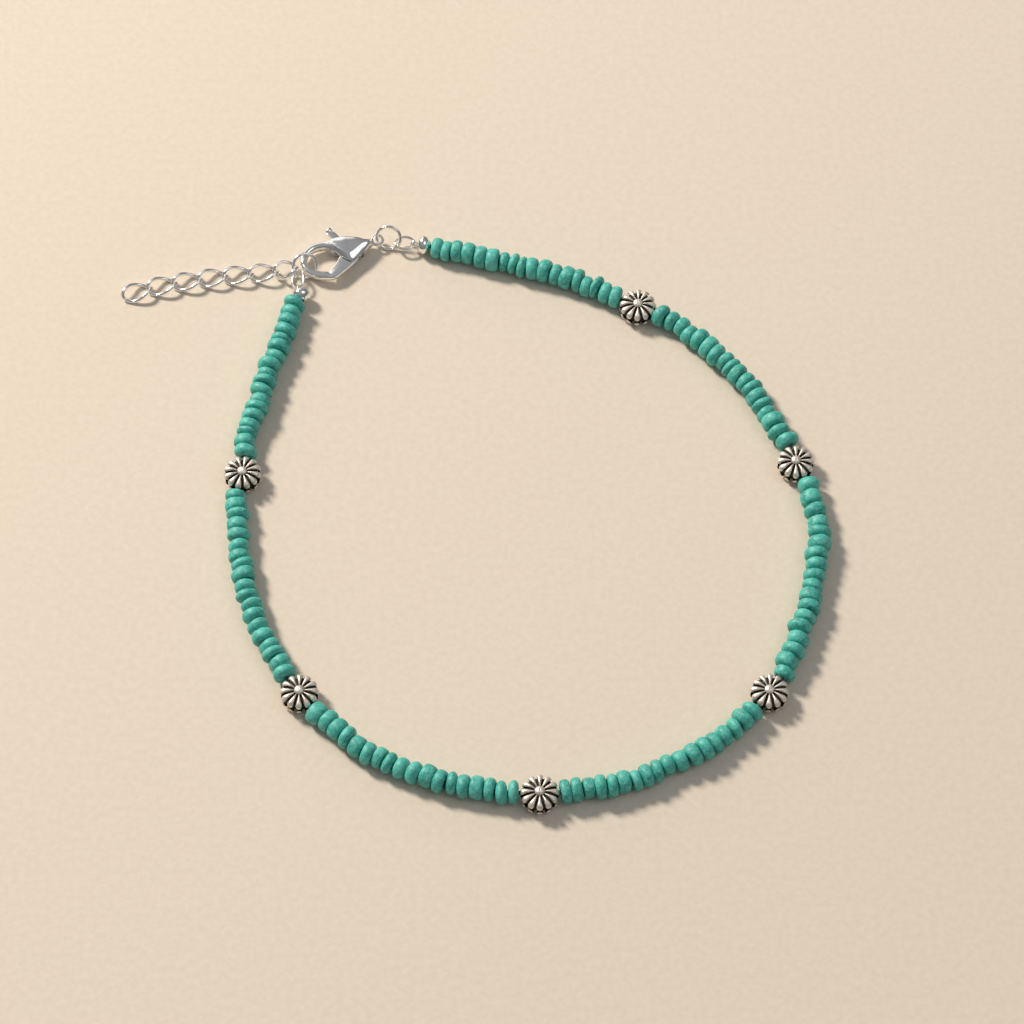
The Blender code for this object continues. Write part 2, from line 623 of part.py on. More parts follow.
class Hardware:
    """Places and builds everything between the two ends of the string."""

    def __init__(self, collections, material):
        self.parts, self.cutters = collections
        self.material = material
        self.level = CLASP_THICKNESS / 2
        self.ring_radius = (RING_DIAMETER - RING_WIRE) / 2
        self.oval_half = (OVAL_LENGTH - OVAL_WIRE) / 2
        self.oval_side = (OVAL_WIDTH - OVAL_WIRE) / 2
        self.ring_hold = (OVAL_WIRE + RING_WIRE) / 2 + WIRE_GAP

    def add_wire(self, name, points, wire):
        """Add a closed ring or link of round wire."""
        add_object(name, wire_curve(name, points, wire), self.parts, self.material)

    def build_right(self):
        """Build the right crimp, its oval link, jump ring and clasp, and return crimp and clasp."""
        back = flat(HARDWARE_HEADING)
        across = flat(HARDWARE_HEADING - math.pi / 2)
        crimp = Vector((*CRIMP_RIGHT, CRIMP_DIAMETER / 2))
        slope = math.asin((crimp.z - self.level) / (LINK_SEAT + 2 * self.oval_half))
        along = back * math.cos(slope) - UP * math.sin(slope)
        add_crimp("crimp_right", crimp, along, across.cross(along), (self.parts, self.cutters), self.material)
        oval = crimp + along * (LINK_SEAT + self.oval_half)
        self.add_wire("oval_link_right", oval_points(oval, along, across, self.oval_half, self.oval_side), OVAL_WIRE)
        rise = self.ring_radius * math.sin(CLASP_RING_TILT)
        dip = math.asin((self.level - rise - RING_WIRE / 2) / rise)
        wire = ring_wire(HARDWARE_HEADING, CLASP_RING_TILT, math.pi - dip)
        held = oval + along * (self.oval_half - nest(along, wire, across, self.ring_hold + WIRE_GAP / 2))
        ring = held - ring_spot(Vector(), HARDWARE_HEADING, CLASP_RING_TILT, self.ring_radius, math.pi - dip)
        ring.z = rise + RING_WIRE / 2
        self.add_wire("jump_ring_clasp", ring_points(ring, HARDWARE_HEADING, CLASP_RING_TILT, self.ring_radius), RING_WIRE)
        clasp = Clasp(ring_spot(ring, HARDWARE_HEADING, CLASP_RING_TILT, self.ring_radius, dip))
        build_clasp(clasp, (self.parts, self.cutters), self.material)
        return crimp, clasp

    def build_hook_ring(self, clasp):
        """Build the jump ring through the clasp's hook and return its centre."""
        neighbour, nose = next(pair for pair in zip(CLASP_SECTIONS, CLASP_SECTIONS[1:]) if "nose" in pair[1])
        centre = clasp.at(nose["along"], nose["side"])
        centre += HOOK_RING_BACK * (clasp.at(neighbour["along"], neighbour["side"]) - centre)
        centre.z = self.ring_radius * math.sin(HOOK_RING_TILT) + RING_WIRE / 2
        points = ring_points(centre, HOOK_RING_HEADING, HOOK_RING_TILT, self.ring_radius)
        self.add_wire("jump_ring_hook", points, RING_WIRE)
        return centre

    def build_chain(self, ring):
        """Build the extender chain from the hook's ring to its free end."""
        side = (CHAIN_LINK_WIDTH - CHAIN_WIRE) / 2
        level_link = oval_points(Vector(), flat(0), flat(math.pi / 2), side, side, CHAIN_TWIST)
        rest = CHAIN_WIRE / 2 - min(point.z for point in level_link)
        heading = flat(math.radians(CHAIN_HEADINGS[0]))
        across = heading.cross(UP)
        end_wire = across * math.cos(CHAIN_TWIST) + heading.cross(across) * math.sin(-CHAIN_TWIST)
        wire = ring_wire(HOOK_RING_HEADING, HOOK_RING_TILT, CHAIN_HOLD)
        start = ring_spot(ring, HOOK_RING_HEADING, HOOK_RING_TILT, self.ring_radius, CHAIN_HOLD)
        start -= heading * nest(heading, wire, end_wire, (RING_WIRE + CHAIN_WIRE) / 2 + WIRE_GAP)
        for k, degrees in enumerate(CHAIN_HEADINGS):
            half = ((CHAIN_LINK_LENGTH if k else FIRST_LINK_LENGTH) - CHAIN_WIRE) / 2
            reach = 2 * half - (CHAIN_WIRE + WIRE_GAP if k else 0.0)
            heading = flat(math.radians(degrees))
            drop = max(0.0, start.z - rest) * CHAIN_DROP
            end = start + heading * math.sqrt(reach ** 2 - drop ** 2) - UP * drop
            along = (end - start).normalized()
            across = along.cross(UP).normalized()
            points = oval_points(end - along * half, along, across, half, side, CHAIN_TWIST)
            self.add_wire(f"chain_link_{k + 1}", points, CHAIN_WIRE)
            start = end

    def build_left(self, ring):
        """Build the left oval link and crimp, and return the crimp's middle."""
        down = flat(LEFT_HEADING)
        lean = flat(LEFT_HEADING + math.pi / 2) * math.cos(LEFT_LEAN) + UP * math.sin(LEFT_LEAN)
        wire = ring_wire(HOOK_RING_HEADING, HOOK_RING_TILT, LOOP_HOLD)
        start = ring_spot(ring, HOOK_RING_HEADING, HOOK_RING_TILT, self.ring_radius, LOOP_HOLD)
        start -= down * nest(down, wire, lean, self.ring_hold)
        half = (LEFT_OVAL_LENGTH - OVAL_WIRE) / 2
        reach = 2 * half + LINK_SEAT
        rise = CRIMP_DIAMETER / 2 - start.z
        along = (down * math.sqrt(reach ** 2 - rise ** 2) + UP * rise).normalized()
        lean = (lean - along * lean.dot(along)).normalized()
        points = oval_points(start + along * half, along, lean, half, self.oval_side)
        self.add_wire("oval_link_left", points, OVAL_WIRE)
        crimp = start + along * reach
        add_crimp("crimp_left", crimp, -along, along.cross(lean), (self.parts, self.cutters), self.material)
        return crimp


def build_anklet():
    """Build every piece of the anklet."""
    clear_scene()
    parts = new_collection("beaded_anklet")
    cutters = new_collection("cutters")
    stone = new_material("turquoise_stone", (0.05, 0.38, 0.31), 0.0, 0.42)
    antique = new_material("antique_silver", (0.72, 0.68, 0.6), 1.0, 0.35)
    silver = new_material("polished_silver", (0.85, 0.84, 0.82), 1.0, 0.15)
    hardware = Hardware((parts, cutters), silver)
    crimp_right, clasp = hardware.build_right()
    ring = hardware.build_hook_ring(clasp)
    hardware.build_chain(ring)
    crimp_left = hardware.build_left(ring)
    route = Route([crimp_left.xy] + [(row["x"] * MM, row["y"] * MM) for row in ROUTE] + [crimp_right.xy])
    ends = [CRIMP_LENGTH / 2 + BEAD_GAP]
    for k, row in enumerate(ROUTE):
        if row["turn"] is not None:
            middle = route.length_at(k + 1)
            reach = FLOWER_DIAMETER / 2 + BEAD_GAP
            ends += [middle - reach, middle + reach]
    ends.append(route.lengths[-1] - CRIMP_LENGTH / 2 - BEAD_GAP)
    build_bead_runs(route, list(zip(ends[::2], ends[1::2])), parts, stone)
    build_flowers(route, parts, antique)


build_anklet()
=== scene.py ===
"""Dressed model of a beaded anklet, fastened and lying flat on a pale table.

Turquoise rondelles and cast silver flower beads run round in a loop between two
crimp balls. A lobster claw clasp, two jump rings and two oval links close the
loop, and a short chain of twisted links hangs from the ring in the clasp's hook.
"""

from __future__ import annotations

import logging
import math
import random
from bisect import bisect_left
from dataclasses import dataclass, field
from enum import Enum
from typing import Any, Iterator, NamedTuple, Optional, Sequence

import bmesh
import bpy
from bmesh.types import BMEdge, BMesh, BMVert
from bpy.types import Material, Mesh, Node, NodeSocket, Object
from mathutils import Matrix, Vector, noise

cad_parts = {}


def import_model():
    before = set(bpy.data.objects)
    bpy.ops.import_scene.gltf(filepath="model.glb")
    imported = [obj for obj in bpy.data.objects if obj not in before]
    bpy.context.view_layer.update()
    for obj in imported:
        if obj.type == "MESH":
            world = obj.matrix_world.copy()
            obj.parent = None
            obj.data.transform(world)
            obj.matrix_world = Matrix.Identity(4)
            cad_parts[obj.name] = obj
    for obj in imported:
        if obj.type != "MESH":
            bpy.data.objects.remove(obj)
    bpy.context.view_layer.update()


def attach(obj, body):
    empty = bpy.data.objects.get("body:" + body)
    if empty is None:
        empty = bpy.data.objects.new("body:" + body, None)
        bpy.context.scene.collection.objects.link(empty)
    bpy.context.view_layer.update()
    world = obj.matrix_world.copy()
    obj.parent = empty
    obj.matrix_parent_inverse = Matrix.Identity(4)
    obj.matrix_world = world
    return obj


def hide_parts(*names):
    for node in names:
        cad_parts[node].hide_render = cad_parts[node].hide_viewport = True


LOG = logging.getLogger("anklet")
MM = 0.001
UP = Vector((0.0, 0.0, 1.0))
QUARTER = math.pi / 2
WHOLE = 2 * math.pi
MERGE = 0.0005 * MM

Colour = tuple[float, float, float]
Pair = tuple[float, float]


class Slot(Enum):
    """Material slots of the record that the pieces take their finish from."""

    STONE = "turquoise_stone"
    ANTIQUE = "antique_silver"
    POLISHED = "polished_silver"


class Part(Enum):
    """Bodies of the model that the pieces ride on."""

    ANKLET = "anklet"
    LEVER = "lever"


def flat(heading: float) -> Vector:
    """Return the level unit vector at a heading."""
    return Vector((math.cos(heading), math.sin(heading), 0.0))


def frame_at(centre: Vector, x: Vector, y: Vector, z: Vector) -> Matrix:
    """Return the matrix that puts a shape's own axes along x, y and z at a centre."""
    return Matrix.Translation(centre) @ Matrix((x, y, z)).transposed().to_4x4()


def smoothstep(low: float, high: float, value: float) -> float:
    """Return a smooth share from 0 at low to 1 at high."""
    share = max(0.0, min(1.0, (value - low) / (high - low)))
    return share * share * (3.0 - 2.0 * share)


def between(first: Sequence[float], second: Sequence[float], share: float) -> tuple[float, ...]:
    """Return the row of numbers at a share of the way from the first row to the second."""
    return tuple(a + (b - a) * share for a, b in zip(first, second))


def mirrored(half: Sequence[Pair]) -> list[Pair]:
    """Return a whole profile from its half, which starts at the middle."""
    return [(-x, r) for x, r in half[:0:-1]] + list(half)


def spline(rows: Sequence[Sequence[float]], steps: int, closed: bool = False) -> list[list[float]]:
    """Blend rows of numbers smoothly, passing through every row.

    Args:
        rows: the chosen rows, all of one length.
        steps: how many rows come out for each span.
        closed: whether the last row joins the first.

    Returns:
        The blended rows, ending with the last chosen row where it is open.
    """
    count = len(rows)

    def row(i: int) -> Sequence[float]:
        """Return a row, wrapped round or held at the ends."""
        return rows[i % count] if closed else rows[max(0, min(count - 1, i))]

    out = []
    for i in range(count if closed else count - 1):
        for k in range(steps):
            t = k / steps
            out.append([
                0.5 * (2 * b + (c - a) * t + (2 * a - 5 * b + 4 * c - d) * t ** 2
                       + (3 * b - a - 3 * c + d) * t ** 3)
                for a, b, c, d in zip(row(i - 1), row(i), row(i + 1), row(i + 2))
            ])
    return out if closed else out + [list(rows[-1])]


# Shaping meshes


def draw_out(bm: BMesh, edges: Sequence[BMEdge]) -> tuple[list[BMVert], list[BMEdge]]:
    """Extrude a ring of edges in place.

    Args:
        bm: the mesh being made.
        edges: the ring to draw out.

    Returns:
        The new ring's vertices and its edges.
    """
    grown = bmesh.ops.extrude_edge_only(bm, edges=list(edges))["geom"]
    verts = [item for item in grown if isinstance(item, BMVert)]
    fresh = set(verts)
    ring = [item for item in grown if isinstance(item, BMEdge) and fresh.issuperset(item.verts)]
    return verts, ring


def open_frames(points: Sequence[Vector]) -> list[Matrix]:
    """Return frames along an open path, turned as little as may be, with X along it.

    Args:
        points: the path.

    Returns:
        One matrix for each point.
    """
    frames = []
    side = (points[1] - points[0]).orthogonal()
    for i, point in enumerate(points):
        along = (points[min(i + 1, len(points) - 1)] - points[max(i - 1, 0)]).normalized()
        side = (side - along * side.dot(along)).normalized()
        frames.append(frame_at(point, along, side, along.cross(side)))
    return frames


def closed_frames(points: Sequence[Vector]) -> list[Matrix]:
    """Return frames round a closed link, each with Y pointing away from the middle.

    Args:
        points: the path round the link.

    Returns:
        One matrix for each point.
    """
    middle = sum(points, Vector()) / len(points)
    frames = []
    for i, point in enumerate(points):
        along = (points[(i + 1) % len(points)] - points[i - 1]).normalized()
        out = point - middle
        out = (out - along * out.dot(along)).normalized()
        frames.append(frame_at(point, along, out, along.cross(out)))
    return frames


def sweep(bm: BMesh, frames: Sequence[Matrix], radius: float, sides: int, closed: bool) -> None:
    """Draw a round wire through a row of frames.

    Args:
        bm: the mesh being made.
        frames: the wire's frames, with X along the wire.
        radius: the wire's radius.
        sides: the number of sides of the wire.
        closed: whether the wire's end joins its start.
    """
    place = frames[0] @ Matrix.Rotation(QUARTER, 4, "Y")
    made = bmesh.ops.create_circle(bm, cap_ends=False, radius=radius, segments=sides, matrix=place)
    first = list(dict.fromkeys(edge for vert in made["verts"] for edge in vert.link_edges))
    edges = first
    for before, after in zip(frames, frames[1:]):
        verts, edges = draw_out(bm, edges)
        bmesh.ops.transform(bm, matrix=after @ before.inverted(), verts=verts)
    if closed:
        bmesh.ops.bridge_loops(bm, edges=edges + first)
    else:
        bmesh.ops.holes_fill(bm, edges=edges + first, sides=sides)


def turned(bm: BMesh, profile: Sequence[Pair], steps: int, place: Matrix) -> None:
    """Turn a profile round the X axis of a place.

    Args:
        bm: the mesh being made.
        profile: pairs of length along the axis and radius.
        steps: the number of sides.
        place: where the turned shape goes.
    """
    verts = [bm.verts.new(place @ Vector((x, 0.0, r))) for x, r in profile]
    edges = [bm.edges.new(pair) for pair in zip(verts, verts[1:])]
    if profile[0][1] > 0.0:
        edges.append(bm.edges.new((verts[-1], verts[0])))
    axis = (place.to_3x3() @ Vector((1.0, 0.0, 0.0))).normalized()
    bmesh.ops.spin(bm, geom=verts + edges, cent=place.translation, axis=axis,
                   dvec=(0.0, 0.0, 0.0), angle=WHOLE, steps=steps, use_merge=True,
                   use_duplicate=False)


def as_mesh(bm: BMesh, name: str, sharp: Optional[float] = 40.0) -> Mesh:
    """Turn the faces outward and return the finished mesh, shaded smooth.

    Args:
        bm: the mesh being made, which is freed.
        name: the mesh's name.
        sharp: the angle in degrees past which an edge is crisp. Doubles are merged
            first. Where it is None, vertices and crisp edges stay as they are.

    Returns:
        The finished mesh.
    """
    if sharp is not None:
        bmesh.ops.remove_doubles(bm, verts=bm.verts, dist=MERGE)
    bmesh.ops.recalc_face_normals(bm, faces=bm.faces)
    mesh = bpy.data.meshes.new(name)
    bm.to_mesh(mesh)
    bm.free()
    mesh.shade_smooth()
    if sharp is not None:
        mesh.set_sharp_from_angle(angle=math.radians(sharp))
    return mesh


def link_piece(name: str, mesh: Mesh, material: Material) -> Object:
    """Link a mesh to the scene at the origin, in one finish.

    Args:
        name: the piece's name.
        mesh: its mesh.
        material: its finish.

    Returns:
        The new object.
    """
    item = bpy.data.objects.new(name, mesh)
    bpy.context.scene.collection.objects.link(item)
    mesh.materials.clear()
    mesh.materials.append(material)
    return item


def fit(item: Object, part: Part, slot: Optional[Slot], *nodes: str) -> None:
    """Put a finished piece on its body and in place of its nodes.

    Args:
        item: the piece.
        part: the body that it rides on.
        slot: not used.
        *nodes: the nodes that it stands for.
    """
    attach(item, part.value)
    if nodes:
        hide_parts(*nodes)
    LOG.info("%s: %d faces, on %s, for %s", item.name, len(item.data.polygons), part.value,
             ", ".join(nodes) or "no node")


def combine(body: Object, steps: Sequence[tuple[Object, str]], sharp: float) -> None:
    """Join shapes to a body or cut them out of it, for good.

    Args:
        body: the object that is changed.
        steps: each shape with DIFFERENCE or UNION, in order; the shapes are deleted.
        sharp: the angle in degrees past which an edge is crisp.
    """
    for shape, operation in steps:
        modifier = body.modifiers.new(operation.lower(), "BOOLEAN")
        modifier.object, modifier.operation, modifier.solver = shape, operation, "EXACT"
    graph = bpy.context.evaluated_depsgraph_get()
    graph.update()
    rough, result = body.data, bpy.data.meshes.new_from_object(body.evaluated_get(graph))
    body.modifiers.clear()
    for shape, _ in steps:
        bpy.data.objects.remove(shape, do_unlink=True)
    bm = bmesh.new()
    bm.from_mesh(result)
    bmesh.ops.dissolve_degenerate(bm, edges=bm.edges, dist=MERGE)
    body.data = as_mesh(bm, body.name, sharp)
    body.data.materials.clear()
    body.data.materials.append(rough.materials[0])
    for used in (rough, result):
        bpy.data.meshes.remove(used)


# Finishes


class Recipe:
    """Short hand for the nodes of one material."""

    # A colour mix shares its sockets' names with other kinds of mix, so they go by number.
    MIX_SHARE, MIX_FIRST, MIX_SECOND, MIX_RESULT = 0, 6, 7, 2

    def __init__(self, name: str) -> None:
        """Start a material with its Principled shader and Object coordinates."""
        self.material = bpy.data.materials.new(name)
        self.material.use_nodes = True
        self.tree = self.material.node_tree
        self.shader = self.tree.nodes["Principled BSDF"]
        self.coords = self.add("ShaderNodeTexCoord", {}).outputs["Object"]

    def add(self, kind: str, inputs: dict[Any, Any], **settings: Any) -> Node:
        """Add a node.

        Args:
            kind: the node's type.
            inputs: what goes into the node's inputs.
            **settings: properties of the node.

        Returns:
            The new node.
        """
        node = self.tree.nodes.new(kind)
        for key, value in settings.items():
            setattr(node, key, value)
        self.fill(node, inputs)
        return node

    def fill(self, node: Node, inputs: dict[Any, Any]) -> None:
        """Link inputs of a node to outputs, or set their own values.

        Args:
            node: the node.
            inputs: an output, a number or a colour for the name or number of an input.
        """
        for name, value in inputs.items():
            if isinstance(value, NodeSocket):
                self.tree.links.new(value, node.inputs[name])
            else:
                colour = isinstance(value, tuple)
                node.inputs[name].default_value = (*value, 1.0) if colour else value

    def grain(self, size: float, detail: float = 3.0, roughness: float = 0.55,
              distortion: float = 0.0) -> NodeSocket:
        """Return noise whose blotches are about a size across, in metres."""
        return self.add("ShaderNodeTexNoise", {
            "Vector": self.coords, "Scale": 1.0 / size, "Detail": detail,
            "Roughness": roughness, "Distortion": distortion}).outputs["Fac"]

    def span(self, value: Any, low: float, high: float, to_low: float = 0.0,
             to_high: float = 1.0) -> NodeSocket:
        """Return a value mapped from one range to another, held at the ends."""
        return self.add("ShaderNodeMapRange", {
            "Value": value, "From Min": low, "From Max": high,
            "To Min": to_low, "To Max": to_high}).outputs["Result"]

    def sums(self, operation: str, first: Any, second: Any) -> NodeSocket:
        """Return the result of one sum on two values."""
        return self.add("ShaderNodeMath", {0: first, 1: second}, operation=operation).outputs[0]

    def blend(self, share: Any, first: Any, second: Any) -> NodeSocket:
        """Return a colour blended from the first to the second."""
        inputs = {self.MIX_SHARE: share, self.MIX_FIRST: first, self.MIX_SECOND: second}
        return self.add("ShaderNodeMix", inputs, data_type="RGBA").outputs[self.MIX_RESULT]

    def marked(self, name: str) -> NodeSocket:
        """Return the number that a mesh holds under a name."""
        return self.add("ShaderNodeAttribute", {}, attribute_name=name).outputs["Fac"]

    def relief(self, *layers: tuple[Any, float]) -> None:
        """Raise the surface by layers of height.

        Args:
            *layers: pairs of a height from 0 to 1 and its depth in metres.
        """
        below: dict[str, NodeSocket] = {}
        for height, depth in layers:
            node = self.add("ShaderNodeBump", {
                "Strength": 1.0, "Distance": depth, "Height": height, **below})
            below = {"Normal": node.outputs["Normal"]}
        self.fill(self.shader, below)

    def finish(self, colour: Any, roughness: Any, metallic: Any = 0.0) -> Material:
        """Set the shader's main inputs and return the material."""
        self.fill(self.shader, {
            "Base Color": colour, "Roughness": roughness, "Metallic": metallic})
        return self.material


@dataclass(frozen=True)
class StoneFinish:
    """Satin dyed stone with soft mottling and paler flecks."""

    deep: Colour = (0.018, 0.255, 0.216)
    body: Colour = (0.056, 0.440, 0.372)
    pale: Colour = (0.220, 0.610, 0.525)
    mottle: float = 1.1 * MM
    fleck: float = 0.34 * MM
    swell: float = 0.88 * MM
    swell_depth: float = 0.05 * MM
    grain: float = 0.12 * MM
    grain_depth: float = 0.010 * MM
    smooth: float = 0.45
    rough: float = 0.64
    ior: float = 1.54
    coat: float = 0.08
    coat_rough: float = 0.30

    def build(self) -> Material:
        """Return the stone's material."""
        recipe = Recipe("turquoise_stone_satin")
        mottle = recipe.grain(self.mottle, 4.0, 0.62, 0.6)
        fleck = recipe.grain(self.fleck, 4.0, 0.68)
        tone = recipe.span(recipe.marked("tone"), -1.0, 1.0, -0.14, 0.14)
        share = recipe.sums("ADD", recipe.span(mottle, 0.33, 0.67, 0.1, 0.75), tone)
        colour = recipe.blend(recipe.span(share, 0.0, 0.55), self.deep, self.body)
        colour = recipe.blend(recipe.span(share, 0.5, 1.0, 0.0, 0.55), colour, self.pale)
        colour = recipe.blend(recipe.span(fleck, 0.50, 0.70, 0.0, 0.75), colour, self.pale)
        colour = recipe.blend(recipe.span(fleck, 0.30, 0.44, 0.5, 0.0), colour, self.deep)
        recipe.relief((recipe.grain(self.swell, 2.0), self.swell_depth),
                      (recipe.grain(self.grain, 2.0), self.grain_depth))
        recipe.fill(recipe.shader, {
            "IOR": self.ior, "Coat Weight": self.coat, "Coat Roughness": self.coat_rough})
        return recipe.finish(colour, recipe.span(fleck, 0.3, 0.7, self.smooth, self.rough))


@dataclass(frozen=True)
class AntiqueFinish:
    """Cast silver, worn bright on its raised forms and blackened in its recesses."""

    bright: Colour = (0.80, 0.75, 0.68)
    worn: Colour = (0.52, 0.47, 0.40)
    black: Colour = (0.030, 0.024, 0.018)
    stain: float = 0.5 * MM
    stain_depth: float = 0.03 * MM
    grain: float = 0.12 * MM
    grain_depth: float = 0.015 * MM
    pit: float = 0.22 * MM
    pit_depth: float = 0.012 * MM

    def build(self) -> Material:
        """Return the cast silver's material."""
        recipe = Recipe("antique_silver_cast")
        stain = recipe.grain(self.stain, 4.0, 0.6)
        grain = recipe.grain(self.grain, 3.0)
        pits = recipe.span(recipe.grain(self.pit, 4.0, 0.7), 0.56, 0.72)
        soiled = recipe.sums("ADD", recipe.span(grain, 0.3, 0.7, -0.12, 0.12),
                             recipe.span(pits, 0.0, 1.0, 0.0, 0.40))
        dark = recipe.span(recipe.sums("ADD", recipe.marked("patina"), soiled), 0.25, 0.75)
        metal = recipe.blend(recipe.span(stain, 0.42, 0.68, 0.0, 0.7), self.bright, self.worn)
        recipe.relief((stain, self.stain_depth), (grain, self.grain_depth),
                      (recipe.sums("SUBTRACT", 1.0, pits), self.pit_depth))
        return recipe.finish(recipe.blend(dark, metal, self.black),
                             recipe.span(dark, 0.0, 1.0, 0.46, 0.70),
                             recipe.span(dark, 0.0, 1.0, 0.80, 0.30))


@dataclass(frozen=True)
class PolishedFinish:
    """Bright plated wire and castings with faint marks of wear."""

    bright: Colour = (0.94, 0.93, 0.91)
    dull: Colour = (0.84, 0.82, 0.78)
    wave: float = 1.4 * MM
    wave_depth: float = 0.008 * MM
    mark: float = 0.30 * MM
    mark_depth: float = 0.0002 * MM
    smooth: float = 0.13
    rough: float = 0.20

    def build(self) -> Material:
        """Return the polished metal's material."""
        recipe = Recipe("polished_silver_plate")
        mark = recipe.grain(self.mark, 3.0)
        recipe.relief((recipe.grain(self.wave, 2.0), self.wave_depth), (mark, self.mark_depth))
        colour = recipe.blend(recipe.span(mark, 0.45, 0.75, 0.0, 0.6), self.bright, self.dull)
        return recipe.finish(colour, recipe.span(mark, 0.35, 0.7, self.smooth, self.rough), 1.0)


@dataclass(frozen=True)
class CordFinish:
    """Dark stringing cord that shows only between the beads."""

    thread: Colour = (0.030, 0.045, 0.040)
    worn: Colour = (0.060, 0.090, 0.080)
    strand: float = 0.08 * MM
    strand_depth: float = 0.02 * MM

    def build(self) -> Material:
        """Return the cord's material."""
        recipe = Recipe("stringing_cord_twist")
        strand = recipe.grain(self.strand, 2.0)
        recipe.relief((strand, self.strand_depth))
        colour = recipe.blend(strand, self.thread, self.worn)
        return recipe.finish(colour, recipe.span(strand, 0.3, 0.7, 0.6, 0.85))


@dataclass(frozen=True)
class TableFinish:
    """Plain pale table top."""

    light: Colour = (0.72, 0.64, 0.54)
    shade: Colour = (0.68, 0.60, 0.50)
    grain: float = 0.9 * MM
    grain_depth: float = 0.03 * MM
    rough: float = 0.85

    def build(self) -> Material:
        """Return the table top's material."""
        recipe = Recipe("pale_table_top")
        grain = recipe.grain(self.grain, 4.0, 0.6)
        recipe.relief((grain, self.grain_depth))
        colour = recipe.blend(recipe.span(grain, 0.35, 0.65), self.shade, self.light)
        return recipe.finish(colour, self.rough)


@dataclass
class Finishes:
    """All finishes of the anklet, built once."""

    stone: Material = field(default_factory=StoneFinish().build)
    antique: Material = field(default_factory=AntiqueFinish().build)
    polished: Material = field(default_factory=PolishedFinish().build)
    cord: Material = field(default_factory=CordFinish().build)


# The route of the string


@dataclass(frozen=True)
class Stop:
    """A chosen point of the string in millimetres, with a flower's turn in degrees."""

    x: float
    y: float
    turn: Optional[float] = None


STRING_ROUTE = (
    Stop(-24.9, 31.1), Stop(-27.3, 23.6), Stop(-29.4, 15.5), Stop(-30.7, 8.9),
    Stop(-30.8, 5.0, -12),
    Stop(-31.4, 1.4), Stop(-30.8, -7.2), Stop(-28.5, -16.5), Stop(-24.1, -25.3),
    Stop(-22.1, -28.5, 0),
    Stop(-19.7, -31.3), Stop(-11.9, -37.7), Stop(-2.3, -41.6), Stop(5.7, -43.1),
    Stop(9.5, -43.2, 0),
    Stop(13.3, -42.9), Stop(22.3, -40.8), Stop(31.4, -36.4), Stop(37.5, -31.4),
    Stop(39.8, -28.4, -4),
    Stop(41.9, -25.0), Stop(45.7, -14.5), Stop(47.2, -4.1), Stop(46.1, 3.1),
    Stop(44.6, 6.7, -2),
    Stop(43.3, 10.3), Stop(38.9, 18.5), Stop(33.1, 25.7), Stop(26.9, 30.6),
    Stop(23.5, 32.2, -3),
    Stop(20.3, 34.1), Stop(12.2, 37.6), Stop(2.5, 40.2),
)


class Route:
    """The string's smooth level path, measured along its length."""

    STEPS = 60

    def __init__(self, start: Vector, end: Vector) -> None:
        """Run the path from the left crimp's middle to the right one's."""
        rows = [(start.x, start.y), *((stop.x * MM, stop.y * MM) for stop in STRING_ROUTE),
                (end.x, end.y)]
        self.points = [Vector((x, y, 0.0)) for x, y in rows]
        self.samples = [Vector((x, y, 0.0)) for x, y in spline(rows, self.STEPS)]
        self.lengths = [0.0]
        for a, b in zip(self.samples, self.samples[1:]):
            self.lengths.append(self.lengths[-1] + (b - a).length)

    def length_at(self, index: int) -> float:
        """Return the length along the route up to one of its chosen points."""
        return self.lengths[index * self.STEPS]

    def place(self, length: float) -> tuple[Vector, float]:
        """Return the point and the heading at a length along the route."""
        i = max(0, min(bisect_left(self.lengths, length) - 1, len(self.lengths) - 2))
        a, b = self.samples[i], self.samples[i + 1]
        share = (length - self.lengths[i]) / (self.lengths[i + 1] - self.lengths[i])
        return a.lerp(b, share), math.atan2(b.y - a.y, b.x - a.x)


# Stone beads


@dataclass
class BeadSpot:
    """Where one stone bead sits, and its size."""

    centre: Vector
    axis: Vector
    half: float
    radius: float
    tone: float
    roundness: int
    wedge: float


